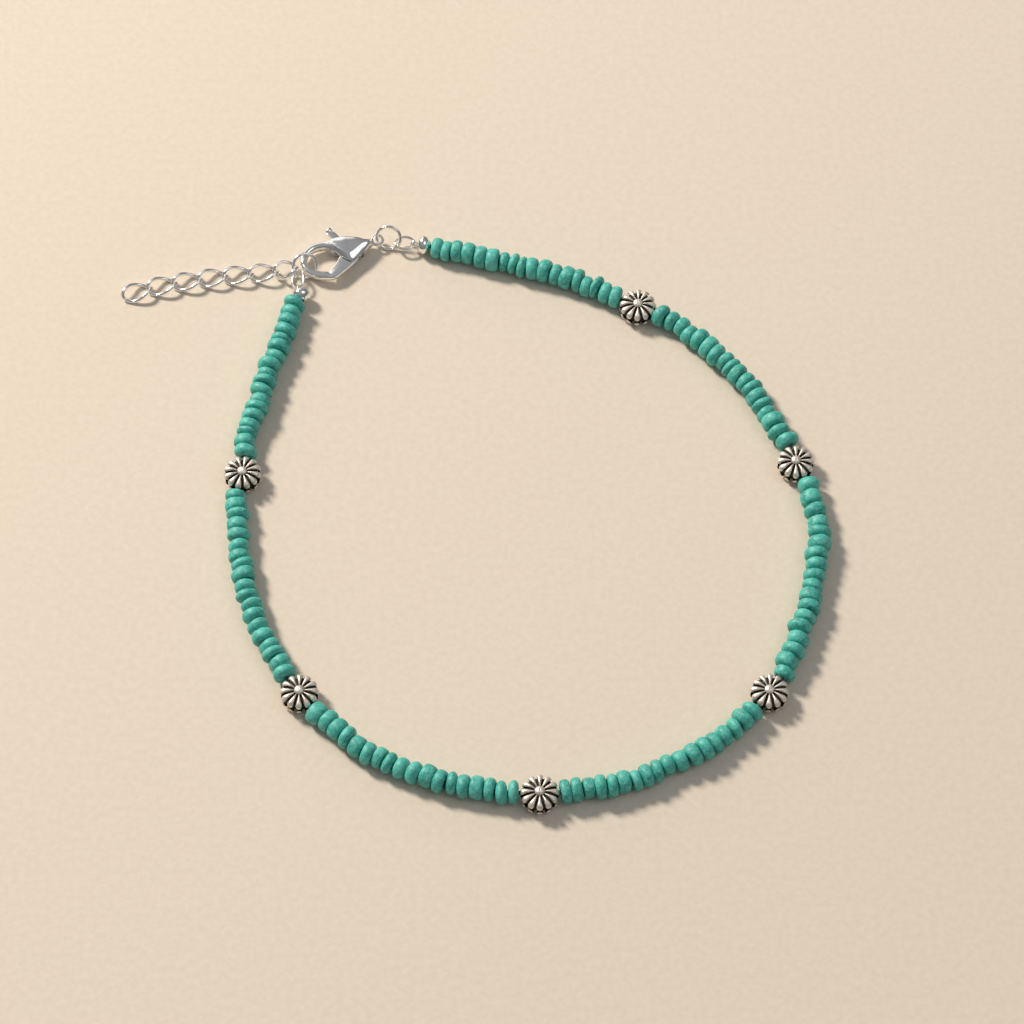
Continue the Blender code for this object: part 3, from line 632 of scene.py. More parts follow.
@dataclass
class StoneRuns:
    """The seven runs of uneven stone rondelles."""

    diameter: float = 3.1 * MM
    gap: float = 0.15 * MM
    counts: tuple[int, ...] = (18, 19, 18, 18, 18, 18, 18)
    seed: int = 823
    thickness_spread: float = 0.2
    diameter_spread: float = 0.085
    wobble: float = 0.27 * MM
    yaw: float = math.radians(9)
    tip: float = math.radians(6)
    rim_share: float = 0.25
    sides: int = 24
    touch: float = 0.985
    lump: float = 0.065 * MM
    lump_size: float = 1.2 * MM
    wedge: float = 0.13
    grades: int = 4
    square_rim: tuple[Pair, ...] = (
        (0.0, 1.0), (0.36, 0.988), (0.66, 0.95), (0.87, 0.87), (0.99, 0.74), (1.03, 0.56),
        (1.01, 0.36), (0.92, 0.20),
    )
    round_rim: tuple[Pair, ...] = (
        (0.0, 1.0), (0.27, 0.978), (0.52, 0.915), (0.75, 0.81), (0.92, 0.67), (1.02, 0.50),
        (1.01, 0.34), (0.92, 0.20),
    )

    def templates(self) -> list[Mesh]:
        """Return beads of half thickness and radius 1, from square to round shouldered."""
        meshes = []
        for grade in range(self.grades):
            share = grade / (self.grades - 1)
            rim = [between(a, b, share) for a, b in zip(self.square_rim, self.round_rim)]
            bm = bmesh.new()
            turned(bm, mirrored(rim), self.sides, Matrix.Identity(4))
            meshes.append(as_mesh(bm, "bead_template", sharp=60))
        return meshes

    def spots(self, route: Route, stops: Sequence[Pair]) -> Iterator[list[BeadSpot]]:
        """Draw the beads of each run in turn.

        Args:
            route: the string's route.
            stops: the start and end of each run along the route.

        Yields:
            The beads of one run.
        """
        rng, tones, grades = (random.Random(self.seed + k) for k in range(3))
        for count, (start, end) in zip(self.counts, stops):
            draws = [[rng.uniform(-1, 1) for _ in range(5)] for _ in range(count)]
            lengths = [1.0 + self.thickness_spread * draw[0] for draw in draws]
            scale = (end - start) / sum(lengths)
            along = start
            beads = []
            for (_, width, shift, turn, lean), length in zip(draws, lengths):
                length *= scale
                radius = self.diameter / 2 * (1.0 + self.diameter_spread * width)
                tip = self.tip * lean
                centre, heading = route.place(along + length / 2)
                centre = centre + flat(heading + QUARTER) * self.wobble * shift
                axis = flat(heading + self.yaw * turn) * math.cos(tip) + UP * math.sin(tip)
                centre.z = radius * math.cos(tip) + self.rim_share * length * abs(math.sin(tip))
                beads.append(BeadSpot(
                    centre, axis, length / 2 * self.touch, radius, tones.uniform(-1, 1),
                    grades.randrange(self.grades), self.wedge * grades.uniform(-1, 1)))
                along += length
            yield beads

    def run_mesh(self, name: str, templates: Sequence[Mesh], beads: Sequence[BeadSpot]) -> Mesh:
        """Return one run of beads as a mesh, each bead a little lumpy.

        Args:
            name: the mesh's name.
            templates: the beads that every bead starts from.
            beads: the beads of the run.

        Returns:
            The run's mesh, with each bead's tone.
        """
        bm = bmesh.new()
        tone = bm.verts.layers.float.new("tone")
        for bead in beads:
            known = len(bm.verts)
            bm.from_mesh(templates[bead.roundness])
            bm.verts.ensure_lookup_table()
            verts = bm.verts[known:]
            side = bead.axis.cross(UP).normalized()
            place = frame_at(bead.centre, bead.axis, side, bead.axis.cross(side))
            for vert in verts:
                vert.co.x *= 1.0 + bead.wedge * vert.co.y - 0.5 * abs(bead.wedge)
            bmesh.ops.scale(bm, vec=(bead.half, bead.radius, bead.radius), verts=verts)
            bmesh.ops.transform(bm, matrix=place, verts=verts)
            for vert in verts:
                out = (vert.co - bead.centre).normalized()
                vert.co = vert.co + out * noise.noise(vert.co / self.lump_size) * self.lump
                vert.co.z = max(vert.co.z, 0.0)
                vert[tone] = bead.tone
        return as_mesh(bm, name, sharp=None)

    def build(self, route: Route, stops: Sequence[Pair],
              finishes: Finishes) -> list[list[BeadSpot]]:
        """Build every run and fit it in place of its node.

        Args:
            route: the string's route.
            stops: the start and end of each run along the route.
            finishes: the finishes.

        Returns:
            The beads of each run.
        """
        templates = self.templates()
        runs = list(self.spots(route, stops))
        for k, beads in enumerate(runs, 1):
            name = f"turquoise_beads_{k}"
            item = link_piece(name, self.run_mesh(name, templates, beads), finishes.stone)
            fit(item, Part.ANKLET, Slot.STONE, f"bead_run_{k}")
        for template in templates:
            bpy.data.meshes.remove(template)
        return runs


# Flower beads


@dataclass
class FlowerBeads:
    """The six cast flower beads, with a flower on each face and a groove between."""

    diameter: float = 5.2 * MM
    thickness: float = 3.0 * MM
    petals: int = 12
    petal_path: tuple[Pair, ...] = (
        (0.20, 0.66), (0.42, 0.69), (0.64, 0.67), (0.83, 0.56), (0.915, 0.36), (0.93, 0.14),
    )
    petal_widths: tuple[float, ...] = (0.052, 0.065, 0.106, 0.163, 0.186, 0.176)
    petal_depth: float = 0.25 * MM
    petal_steps: int = 8
    petal_black: Pair = (-0.15, 0.35)
    core: tuple[Pair, ...] = (
        (0.0, 0.70), (0.08, 0.73), (0.20, 0.80), (0.36, 0.79), (0.48, 0.70), (0.56, 0.55),
        (0.60, 0.30), (0.60, 0.0),
    )
    core_sides: int = 48
    boss_radius: float = 0.27
    boss_base: float = 0.70
    boss_black: Pair = (0.05, 0.35)
    dot: float = 0.11 * MM
    dot_depth: float = 0.07 * MM

    def __post_init__(self) -> None:
        """Work out the outer radius and half the thickness."""
        self.outer, self.half = self.diameter / 2, self.thickness / 2

    def petal_point(self, path: Sequence[Sequence[float]],
                    share: float) -> tuple[Vector, Vector, float]:
        """Return the middle, the outward direction and the half width of a petal.

        Args:
            path: the petal's blended path, as rows of radius, height and half width.
            share: the share of the petal's length from its root.

        Returns:
            The point in the plane through the axis, the direction away from the
            petal's back, and the half width.
        """
        spot = max(0.0, min(1.0, share)) * (len(path) - 1)
        i = min(int(spot), len(path) - 2)
        radius, height, width = between(path[i], path[i + 1], spot - i)
        run, rise = path[i + 1][0] - path[i][0], path[i + 1][1] - path[i][1]
        return Vector((radius, 0.0, height)), Vector((-rise, 0.0, run)).normalized(), width

    def petal(self, bm: BMesh, patina: Any) -> list[BMVert]:
        """Shape one petal of the upper face along +X.

        Args:
            bm: the mesh being made.
            patina: the layer that marks the blackened places.

        Returns:
            The petal's vertices.
        """
        rows = [(r * self.outer, z * self.half, w * self.outer)
                for (r, z), w in zip(self.petal_path, self.petal_widths)]
        path = spline(rows, self.petal_steps)
        turn = Matrix.Rotation(QUARTER, 4, "Y")
        verts = bmesh.ops.create_uvsphere(bm, u_segments=14, v_segments=12, radius=1.0,
                                          matrix=turn)["verts"]
        for vert in verts:
            x, y, z = vert.co
            girth = math.sqrt(max(0.0, 1.0 - x * x))
            share = 1.0 - math.acos(max(-1.0, min(1.0, x))) / math.pi
            point, out, width = self.petal_point(path, share)
            full = 1.0 / math.sqrt(girth) if girth > 1e-6 else 0.0
            across, proud = y * full, z * full
            vert.co = point + Vector((0.0, across * width, 0.0)) + out * proud * self.petal_depth
            vert[patina] = 1.0 - smoothstep(*self.petal_black, proud)
        return verts

    def boss(self, bm: BMesh, patina: Any) -> None:
        """Add the domed boss of the upper face with the dot at its middle.

        Args:
            bm: the mesh being made.
            patina: the layer that marks the blackened places.
        """
        base = self.boss_base * self.half
        radius, height = self.boss_radius * self.outer, self.half - base
        verts = bmesh.ops.create_uvsphere(bm, u_segments=24, v_segments=22, radius=1.0)["verts"]
        bmesh.ops.scale(bm, vec=(radius, radius, height), verts=verts)
        bmesh.ops.translate(bm, vec=(0.0, 0.0, base), verts=verts)
        for vert in verts:
            reach = vert.co.xy.length
            sunk = 1.0 - smoothstep(0.3 * self.dot, self.dot, reach) if vert.co.z > base else 0.0
            vert.co.z -= self.dot_depth * sunk
            edge = 1.0 - smoothstep(*self.boss_black, (vert.co.z - base) / height)
            vert[patina] = max(edge, sunk)

    def core_mesh(self) -> Mesh:
        """Return the blackened core with its waist, without its petals."""
        upper = [(z * self.half, r * self.outer) for z, r in self.core]
        bm = bmesh.new()
        turned(bm, mirrored(upper), self.core_sides, Matrix.Rotation(-QUARTER, 4, "Y"))
        patina = bm.verts.layers.float.new("patina")
        for vert in bm.verts:
            vert[patina] = 1.0
        return as_mesh(bm, "flower_core", sharp=50)

    def mesh(self) -> Mesh:
        """Return the flower bead, centred at its middle."""
        bm = bmesh.new()
        patina = bm.verts.layers.float.new("patina")
        for k in range(self.petals):
            verts = self.petal(bm, patina)
            turn = Matrix.Rotation(WHOLE * k / self.petals, 3, "Z")
            bmesh.ops.rotate(bm, cent=(0, 0, 0), matrix=turn, verts=verts)
        self.boss(bm, patina)
        copied = bmesh.ops.duplicate(bm, geom=bm.verts[:] + bm.edges[:] + bm.faces[:])["geom"]
        below = [item for item in copied if isinstance(item, BMVert)]
        bmesh.ops.scale(bm, vec=(1, 1, -1), verts=below)
        core = self.core_mesh()
        bm.from_mesh(core)
        bpy.data.meshes.remove(core)
        return as_mesh(bm, "flower", sharp=50)

    def build(self, route: Route, finishes: Finishes) -> list[Vector]:
        """Build every flower bead where the route passes through it.

        Args:
            route: the string's route.
            finishes: the finishes.

        Returns:
            The flowers' middles.
        """
        template = self.mesh()
        flowers = [(i, stop.turn) for i, stop in enumerate(STRING_ROUTE, 1)
                   if stop.turn is not None]
        middles = [route.points[i] + UP * self.half for i, _ in flowers]
        for k, (middle, (_, degrees)) in enumerate(zip(middles, flowers), 1):
            mesh = template.copy()
            mesh.name = f"silver_flower_{k}"
            turn = Matrix.Rotation(math.radians(degrees), 4, "Z")
            mesh.transform(Matrix.Translation(middle) @ turn)
            item = link_piece(mesh.name, mesh, finishes.antique)
            fit(item, Part.ANKLET, Slot.ANTIQUE, f"flower_bead_{k}")
        bpy.data.meshes.remove(template)
        return middles


# Rings, links, crimps and clasp


@dataclass(frozen=True)
class Ring:
    """A jump ring of round wire, raised on the side to the right of its heading."""

    centre: Vector
    heading: float
    tilt: float
    radius: float

    def spot(self, angle: float) -> Vector:
        """Return a point of the ring's wire at an angle from its heading."""
        rise = flat(self.heading - QUARTER) * math.cos(self.tilt) + UP * math.sin(self.tilt)
        reach = math.cos(angle) * flat(self.heading) + math.sin(angle) * rise
        return self.centre + self.radius * reach

    def wire(self, angle: float) -> Vector:
        """Return the direction in which the wire runs at an angle."""
        return (self.spot(angle + QUARTER) - self.centre) / self.radius


@dataclass(frozen=True)
class Oval:
    """An oval link, whose plane may turn about its length."""

    centre: Vector
    along: Vector
    across: Vector
    half_length: float
    half_width: float
    twist: float = 0.0

    def points(self, count: int) -> list[Vector]:
        """Return points round the link."""
        up = self.along.cross(self.across)
        points = []
        for k in range(count):
            angle = WHOLE * k / count
            turn = self.twist * math.cos(angle)
            side = self.across * math.cos(turn) + up * math.sin(turn)
            points.append(self.centre + self.along * self.half_length * math.cos(angle)
                          + side * self.half_width * math.sin(angle))
        return points


@dataclass(frozen=True)
class CrimpSpot:
    """Where a crimp ball sits; its loop points along."""

    centre: Vector
    along: Vector
    across: Vector


def nest(along: Vector, wire: Vector, other_wire: Vector, clearance: float) -> float:
    """Return how far apart along a direction two crossing wires are for a clearance."""
    return clearance / abs(along.dot(wire.cross(other_wire).normalized()))


class ClaspSection(NamedTuple):
    """A section of the clasp's body, in shares of its length and of half its thickness."""

    along: float
    side: float
    heading: float
    half_width: float
    depth: float


CLASP_SECTIONS = tuple(ClaspSection(*row) for row in (
    (0.070, 0.010, 0, 0.036, 0.50), (0.130, 0.020, 0, 0.060, 0.86),
    (0.235, 0.032, 0, 0.112, 1.00), (0.365, 0.034, 0, 0.170, 1.00),
    (0.430, 0.020, 0, 0.172, 1.00), (0.500, -0.030, 0, 0.132, 0.94),
    (0.580, -0.098, 0, 0.076, 0.80), (0.660, -0.138, 0, 0.052, 0.66),
    (0.775, -0.146, 8, 0.048, 0.58), (0.880, -0.102, 38, 0.046, 0.50),
    (0.945, -0.012, 70, 0.0455, 0.46), (0.952, 0.088, 99, 0.0455, 0.46),
    (0.910, 0.178, 128, 0.048, 0.48), (0.832, 0.247, 150, 0.051, 0.52),
    (0.755, 0.286, 158, 0.049, 0.52), (0.691, 0.309, 206, 0.060, 0.46),
))
NOSE_SECTION = 11
LEVER_OUTLINE = (
    (0.649, 0.354), (0.555, 0.322), (0.440, 0.268), (0.340, 0.212), (0.285, 0.160),
    (0.280, 0.100), (0.320, 0.020), (0.375, -0.080), (0.420, -0.180), (0.468, -0.285),
    (0.556, -0.285), (0.520, -0.180), (0.478, -0.070), (0.476, 0.030), (0.545, 0.122),
    (0.620, 0.195), (0.700, 0.262),
)
ARM_ANGLES = (5, 22, 38, 50, 61, 72, 83, 95, 112, 132, 150, 168, 192, 213, 243, 297, 327, 348)


@dataclass
class ClaspWork:
    """The lobster claw clasp: its cast body with eye and slot, and its sprung lever."""

    eye: Vector
    length: float = 11.6 * MM
    thickness: float = 2.4 * MM
    heading: float = math.radians(200)
    eye_diameter: float = 2.0 * MM
    eye_wire: float = 0.46 * MM
    eye_steps: int = 36
    eye_sides: int = 12
    slot_width: float = 0.97 * MM
    slot: Pair = (0.215, 0.570)
    lever_gap: float = 0.11 * MM
    lever_edge: float = 0.10 * MM
    pin_diameter: float = 0.8 * MM
    pin_sides: int = 28
    knob_diameter: float = 1.15 * MM
    pivot: Pair = (0.375, 0.140)
    knob: Pair = (0.515, -0.322)
    chamfer: float = 1.05 * MM
    chamfer_drop: float = 0.56 * MM
    soft_edge: float = 0.30 * MM
    squareness: float = 0.86
    arm_width: float = 0.60 * MM
    shield_width: float = 1.25 * MM
    section_steps: int = 5
    lever_steps: int = 4

    def at(self, along: float, side: float, height: float = 0.0) -> Vector:
        """Return the place of two shares of the clasp's length and a height."""
        reach = flat(self.heading) * along + flat(self.heading + QUARTER) * side
        return self.eye + reach * self.length + UP * height

    def faceted(self, width: float, depth: float) -> list[Pair]:
        """Return the outline of a section of the shield, with a long facet on its right edge.

        Args:
            width: the section's half width.
            depth: the section's half depth.

        Returns:
            Pairs of a place across the section and a height.
        """
        facet = min(self.chamfer, 0.95 * width)
        drop = min(self.chamfer_drop, 0.55 * depth)
        soft = min(self.soft_edge, 0.5 * width, 0.5 * depth)
        ridge = width - facet
        return [
            (width, 0.15 * (depth - drop)), (width, depth - drop - 0.3 * soft),
            (width - 0.12 * facet, depth - 0.90 * drop),
            (width - 0.5 * facet, depth - 0.49 * drop),
            (ridge + 0.16 * facet, depth - 0.16 * drop),
            (ridge + 0.04 * facet, depth - 0.05 * drop),
            (ridge - 0.08 * facet, depth), (ridge - 0.25 * facet, depth),
            ((ridge - width) / 2, depth * 0.995), (1.1 * soft - width, depth - 0.12 * soft),
            (0.35 * soft - width, depth - 0.5 * soft), (-width, depth - 1.2 * soft),
            (-width, soft - depth), (0.3 * soft - width, 0.3 * soft - depth),
            (soft - width, -depth), (width - soft, -depth),
            (width - 0.3 * soft, 0.3 * soft - depth), (width, soft - depth),
        ]

    def rounded(self, width: float, depth: float) -> list[Pair]:
        """Return the full round outline of the hook's arm, point for point as faceted."""
        points = []
        for angle in map(math.radians, ARM_ANGLES):
            across, up = (math.copysign(abs(share) ** self.squareness, share)
                          for share in (math.cos(angle), math.sin(angle)))
            points.append((across * width, up * depth))
        return points

    def outline(self, width: float, depth: float) -> list[Pair]:
        """Return a section's outline, round on the slim arm and faceted on the wide shield."""
        share = smoothstep(self.arm_width, self.shield_width, width)
        return [between(a, b, share)
                for a, b in zip(self.rounded(width, depth), self.faceted(width, depth))]

    def body_mesh(self) -> Mesh:
        """Return the cast body from its tail to its hook's tip, drawn out section by section."""
        sections = []
        for along, side, heading, half_width, depth in spline(CLASP_SECTIONS, self.section_steps):
            across = flat(self.heading + math.radians(heading) + QUARTER)
            shape = self.outline(half_width * self.length, depth * self.thickness / 2)
            sections.append([self.at(along, side) + across * u + UP * v for u, v in shape])
        bm = bmesh.new()
        ring = [bm.verts.new(spot) for spot in sections[0]]
        edges = first = [bm.edges.new((ring[i - 1], ring[i])) for i in range(len(ring))]
        for spots in sections[1:]:
            fresh, edges = draw_out(bm, edges)
            ring = [next(edge.other_vert(vert) for edge in vert.link_edges
                         if edge.other_vert(vert) in fresh) for vert in ring]
            for vert, spot in zip(ring, spots):
                vert.co = spot
        bmesh.ops.holes_fill(bm, edges=edges + first, sides=0)
        return as_mesh(bm, "clasp_shell", sharp=24)

    def eye_shape(self, material: Material) -> Object:
        """Return the tail eye as a ring of wire."""
        bm = bmesh.new()
        ring = Ring(self.eye, self.heading, 0.0, (self.eye_diameter - self.eye_wire) / 2)
        points = [ring.spot(WHOLE * k / self.eye_steps) for k in range(self.eye_steps)]
        sweep(bm, closed_frames(points), self.eye_wire / 2, self.eye_sides, True)
        return link_piece("eye_shape", as_mesh(bm, "eye_shape"), material)

    def slot_shape(self, material: Material) -> Object:
        """Return the block that leaves the slot for the lever."""
        start, end = self.slot
        place = frame_at(self.at((start + end) / 2, 0.0), flat(self.heading),
                         flat(self.heading + QUARTER), UP)
        size = Matrix.Diagonal(((end - start) * self.length, self.length, self.slot_width, 1.0))
        bm = bmesh.new()
        bmesh.ops.create_cube(bm, size=1.0, matrix=place @ size)
        return link_piece("slot_shape", as_mesh(bm, "slot_shape"), material)

    def pin_shape(self, diameter: float, height: float, material: Material) -> Object:
        """Return a round pin at the pivot.

        Args:
            diameter: the pin's diameter.
            height: the pin's whole height.
            material: its finish.

        Returns:
            The pin.
        """
        bm = bmesh.new()
        bmesh.ops.create_cone(bm, cap_ends=True, segments=self.pin_sides,
                              radius1=diameter / 2, radius2=diameter / 2, depth=height,
                              matrix=Matrix.Translation(self.at(*self.pivot)))
        return link_piece("pin_shape", as_mesh(bm, "pin_shape"), material)

    def knob_shape(self, material: Material) -> Object:
        """Return the lever's round thumb knob."""
        bm = bmesh.new()
        bmesh.ops.create_uvsphere(bm, u_segments=24, v_segments=16, radius=self.knob_diameter / 2,
                                  matrix=Matrix.Translation(self.at(*self.knob)))
        return link_piece("knob_shape", as_mesh(bm, "knob_shape"), material)

    def lever_mesh(self) -> Mesh:
        """Return the lever's plate, with softened edges."""
        bm = bmesh.new()
        half = self.slot_width / 2 - self.lever_gap
        outline = spline(LEVER_OUTLINE, self.lever_steps, closed=True)
        face = bm.faces.new([bm.verts.new(self.at(along, side, -half)) for along, side in outline])
        grown = bmesh.ops.extrude_face_region(bm, geom=[face])["geom"]
        top = [item for item in grown if isinstance(item, BMVert)]
        bmesh.ops.translate(bm, vec=UP * 2 * half, verts=top)
        rim = [edge for edge in bm.edges
               if abs(edge.verts[0].co.z - edge.verts[1].co.z) < half]
        bmesh.ops.bevel(bm, geom=rim, offset=self.lever_edge, offset_type="OFFSET",
                        affect="EDGES", segments=2, profile=0.5, material=-1, clamp_overlap=True)
        return as_mesh(bm, "clasp_gate", sharp=32)

    def build(self, finishes: Finishes) -> None:
        """Build the body and the lever and fit them in place of their nodes."""
        metal = finishes.polished
        body = link_piece("lobster_clasp_body", self.body_mesh(), metal)
        pin_height = (self.slot_width + self.thickness) / 2
        combine(body, ((self.eye_shape(metal), "UNION"), (self.slot_shape(metal), "DIFFERENCE"),
                       (self.pin_shape(self.pin_diameter, pin_height, metal), "UNION")),
                sharp=28)
        fit(body, Part.ANKLET, Slot.POLISHED, "clasp_body")
        lever = link_piece("lobster_clasp_lever", self.lever_mesh(), metal)
        bore = self.pin_shape(self.pin_diameter + 2 * self.lever_gap, self.thickness, metal)
        combine(lever, ((self.knob_shape(metal), "UNION"), (bore, "DIFFERENCE")), sharp=32)
        fit(lever, Part.LEVER, Slot.POLISHED, "clasp_lever")


@dataclass
class Hardware:
    """Jump rings, oval links, crimp balls and the extender chain."""

    ring_diameter: float = 3.86 * MM
    ring_wire: float = 0.46 * MM
    oval_length: float = 3.1 * MM
    left_oval_length: float = 3.55 * MM
    oval_width: float = 2.5 * MM
    oval_wire: float = 0.42 * MM
    crimp_length: float = 2.0 * MM
    crimp_diameter: float = 2.7 * MM
    crimp_lip: tuple[Pair, ...] = ((0.92, 0.45), (0.97, 0.43), (1.0, 0.36), (1.0, 0.22))
    loop_wire: float = 0.3 * MM
    wire_gap: float = 0.08 * MM
    first_link_length: float = 3.85 * MM
    chain_link_length: float = 4.68 * MM
    chain_link_width: float = 3.1 * MM
    chain_wire: float = 0.5 * MM
    chain_twist: float = math.radians(-45)
    crimp_right: Pair = (-6.57 * MM, 42.82 * MM)
    heading: float = math.radians(172)
    clasp_ring_tilt: float = math.radians(58)
    clasp_ring_seam: float = math.radians(75)
    hook_ring_tilt: float = math.radians(44)
    hook_ring_heading: float = math.radians(204)
    hook_ring_seam: float = math.radians(-110)
    hook_ring_back: float = 0.2
    chain_hold: float = math.radians(12)
    loop_hold: float = math.radians(-30)
    left_heading: float = math.radians(280)
    left_lean: float = math.radians(40)
    chain_drop: float = 0.85
    chain_headings: tuple[int, ...] = (186, 184, 186, 189, 190, 194, 200)
    butt: float = 0.045 * MM
    wire_sides: int = 14
    ring_steps: int = 72
    link_steps: int = 56
    loop_steps: int = 40
    loop_sides: int = 10
    ball_sides: int = 32
    ball_arc: range = range(-62, 63, 9)

    def __post_init__(self) -> None:
        """Work out where every ring, link and crimp lies, from the right crimp on."""
        self.ring_radius = (self.ring_diameter - self.ring_wire) / 2
        self.oval_half = (self.oval_length - self.oval_wire) / 2
        self.oval_side = (self.oval_width - self.oval_wire) / 2
        self.ring_hold = (self.oval_wire + self.ring_wire) / 2 + self.wire_gap
        self.link_seat = self.crimp_length / 2 + self.oval_wire / 2 + 2 * self.wire_gap
        self.loop_half = (self.oval_wire + self.loop_wire) / 2 + self.wire_gap
        self.loop_near = self.crimp_length / 2 - self.loop_wire / 2
        self.loop_far = (self.link_seat + self.oval_wire / 2 + self.wire_gap
                         + self.loop_wire / 2)
        self.lay_right()
        self.lay_hook_ring()
        self.lay_chain()
        self.lay_left()

    def lay_right(self) -> None:
        """Lay out the right crimp, its oval link, its jump ring and the clasp."""
        back, across = flat(self.heading), flat(self.heading - QUARTER)
        crimp = Vector((*self.crimp_right, self.crimp_diameter / 2))
        level = ClaspWork(crimp).thickness / 2
        slope = math.asin((crimp.z - level) / (self.link_seat + 2 * self.oval_half))
        along = back * math.cos(slope) - UP * math.sin(slope)
        self.right_crimp = CrimpSpot(crimp, along, across.cross(along))
        oval = crimp + along * (self.link_seat + self.oval_half)
        self.right_oval = Oval(oval, along, across, self.oval_half, self.oval_side)
        rise = self.ring_radius * math.sin(self.clasp_ring_tilt)
        dip = math.asin((level - rise - self.ring_wire / 2) / rise)
        ring = Ring(Vector(), self.heading, self.clasp_ring_tilt, self.ring_radius)
        hold = nest(along, ring.wire(math.pi - dip), across, self.ring_hold + self.wire_gap / 2)
        centre = oval + along * (self.oval_half - hold) - ring.spot(math.pi - dip)
        centre.z = rise + self.ring_wire / 2
        self.clasp_ring = Ring(centre, self.heading, self.clasp_ring_tilt, self.ring_radius)
        self.clasp = ClaspWork(self.clasp_ring.spot(dip))

    def lay_hook_ring(self) -> None:
        """Lay out the jump ring through the clasp's hook."""
        neighbour, nose = (self.clasp.at(section.along, section.side)
                           for section in CLASP_SECTIONS[NOSE_SECTION - 1:NOSE_SECTION + 1])
        centre = nose + self.hook_ring_back * (neighbour - nose)
        centre.z = self.ring_radius * math.sin(self.hook_ring_tilt) + self.ring_wire / 2
        self.hook_ring = Ring(centre, self.hook_ring_heading, self.hook_ring_tilt,
                              self.ring_radius)

    def lay_chain(self) -> None:
        """Lay out the extender chain from the hook's ring to its free end."""
        side = (self.chain_link_width - self.chain_wire) / 2
        level_link = Oval(Vector(), flat(0), flat(QUARTER), side, side, self.chain_twist)
        rest = self.chain_wire / 2 - min(point.z for point in level_link.points(16))
        heading = flat(math.radians(self.chain_headings[0]))
        across = heading.cross(UP)
        end_wire = (across * math.cos(self.chain_twist)
                    + heading.cross(across) * math.sin(-self.chain_twist))
        start = self.hook_ring.spot(self.chain_hold)
        start -= heading * nest(heading, self.hook_ring.wire(self.chain_hold), end_wire,
                                (self.ring_wire + self.chain_wire) / 2 + self.wire_gap)
        self.chain: list[Oval] = []
        for k, degrees in enumerate(self.chain_headings):
            half = ((self.chain_link_length if k else self.first_link_length)
                    - self.chain_wire) / 2
            reach = 2 * half - (self.chain_wire + self.wire_gap if k else 0.0)
            drop = max(0.0, start.z - rest) * self.chain_drop
            end = start + flat(math.radians(degrees)) * math.sqrt(reach ** 2 - drop ** 2)
            end -= UP * drop
            along = (end - start).normalized()
            across = along.cross(UP).normalized()
            self.chain.append(Oval(end - along * half, along, across, half, side,
                                   self.chain_twist))
            start = end

    def lay_left(self) -> None:
        """Lay out the left oval link and crimp."""
        down = flat(self.left_heading)
        lean = (flat(self.left_heading + QUARTER) * math.cos(self.left_lean)
                + UP * math.sin(self.left_lean))
        start = self.hook_ring.spot(self.loop_hold)
        start -= down * nest(down, self.hook_ring.wire(self.loop_hold), lean, self.ring_hold)
        half = (self.left_oval_length - self.oval_wire) / 2
        reach = 2 * half + self.link_seat
        rise = self.crimp_diameter / 2 - start.z
        along = (down * math.sqrt(reach ** 2 - rise ** 2) + UP * rise).normalized()
        lean = (lean - along * lean.dot(along)).normalized()
        self.left_oval = Oval(start + along * half, along, lean, half, self.oval_side)
        self.left_crimp = CrimpSpot(start + along * reach, -along, along.cross(lean))

    def ring_mesh(self, name: str, ring: Ring, seam: float) -> Mesh:
        """Return a jump ring bent from wire, with its ends butted at the seam.

        Args:
            name: the mesh's name.
            ring: where the ring lies.
            seam: the angle of its butted ends.

        Returns:
            The ring's mesh.
        """
        bm = bmesh.new()
        opening = self.butt / ring.radius
        start = seam + opening / 2
        points = [ring.spot(start + (WHOLE - opening) * k / self.ring_steps)
                  for k in range(self.ring_steps + 1)]
        frames = closed_frames(points)
        for i, angle in ((0, start), (-1, seam - opening / 2)):
            along = ring.wire(angle)
            out = (points[i] - ring.centre).normalized()
            frames[i] = frame_at(points[i], along, out, along.cross(out))
        sweep(bm, frames, self.ring_wire / 2, self.wire_sides, False)
        return as_mesh(bm, name, sharp=50)

    def link_mesh(self, name: str, link: Oval, wire: float) -> Mesh:
        """Return a soldered oval link of round wire."""
        bm = bmesh.new()
        sweep(bm, closed_frames(link.points(self.link_steps)), wire / 2, self.wire_sides, True)
        return as_mesh(bm, name, sharp=50)

    def crimp_mesh(self, name: str, spot: CrimpSpot) -> Mesh:
        """Return a crimp ball with rolled lips and its wire loop, as one mesh.

        Args:
            name: the mesh's name.
            spot: where the ball sits.

        Returns:
            The ball's mesh.
        """
        bm = bmesh.new()
        place = frame_at(spot.centre, spot.along, spot.across, spot.along.cross(spot.across))
        half, radius = self.crimp_length / 2, self.crimp_diameter / 2
        ball = [(math.sin(a), math.cos(a)) for a in map(math.radians, self.ball_arc)]
        profile = [*((-x, r) for x, r in self.crimp_lip[::-1]), *ball, *self.crimp_lip]
        turned(bm, [(x * half, r * radius) for x, r in profile], self.ball_sides, place)
        middle = spot.centre + spot.along * (self.loop_near + self.loop_far) / 2
        loop = Oval(middle, spot.along, spot.across, (self.loop_far - self.loop_near) / 2,
                    self.loop_half)
        sweep(bm, closed_frames(loop.points(self.loop_steps)), self.loop_wire / 2,
              self.loop_sides, True)
        return as_mesh(bm, name)

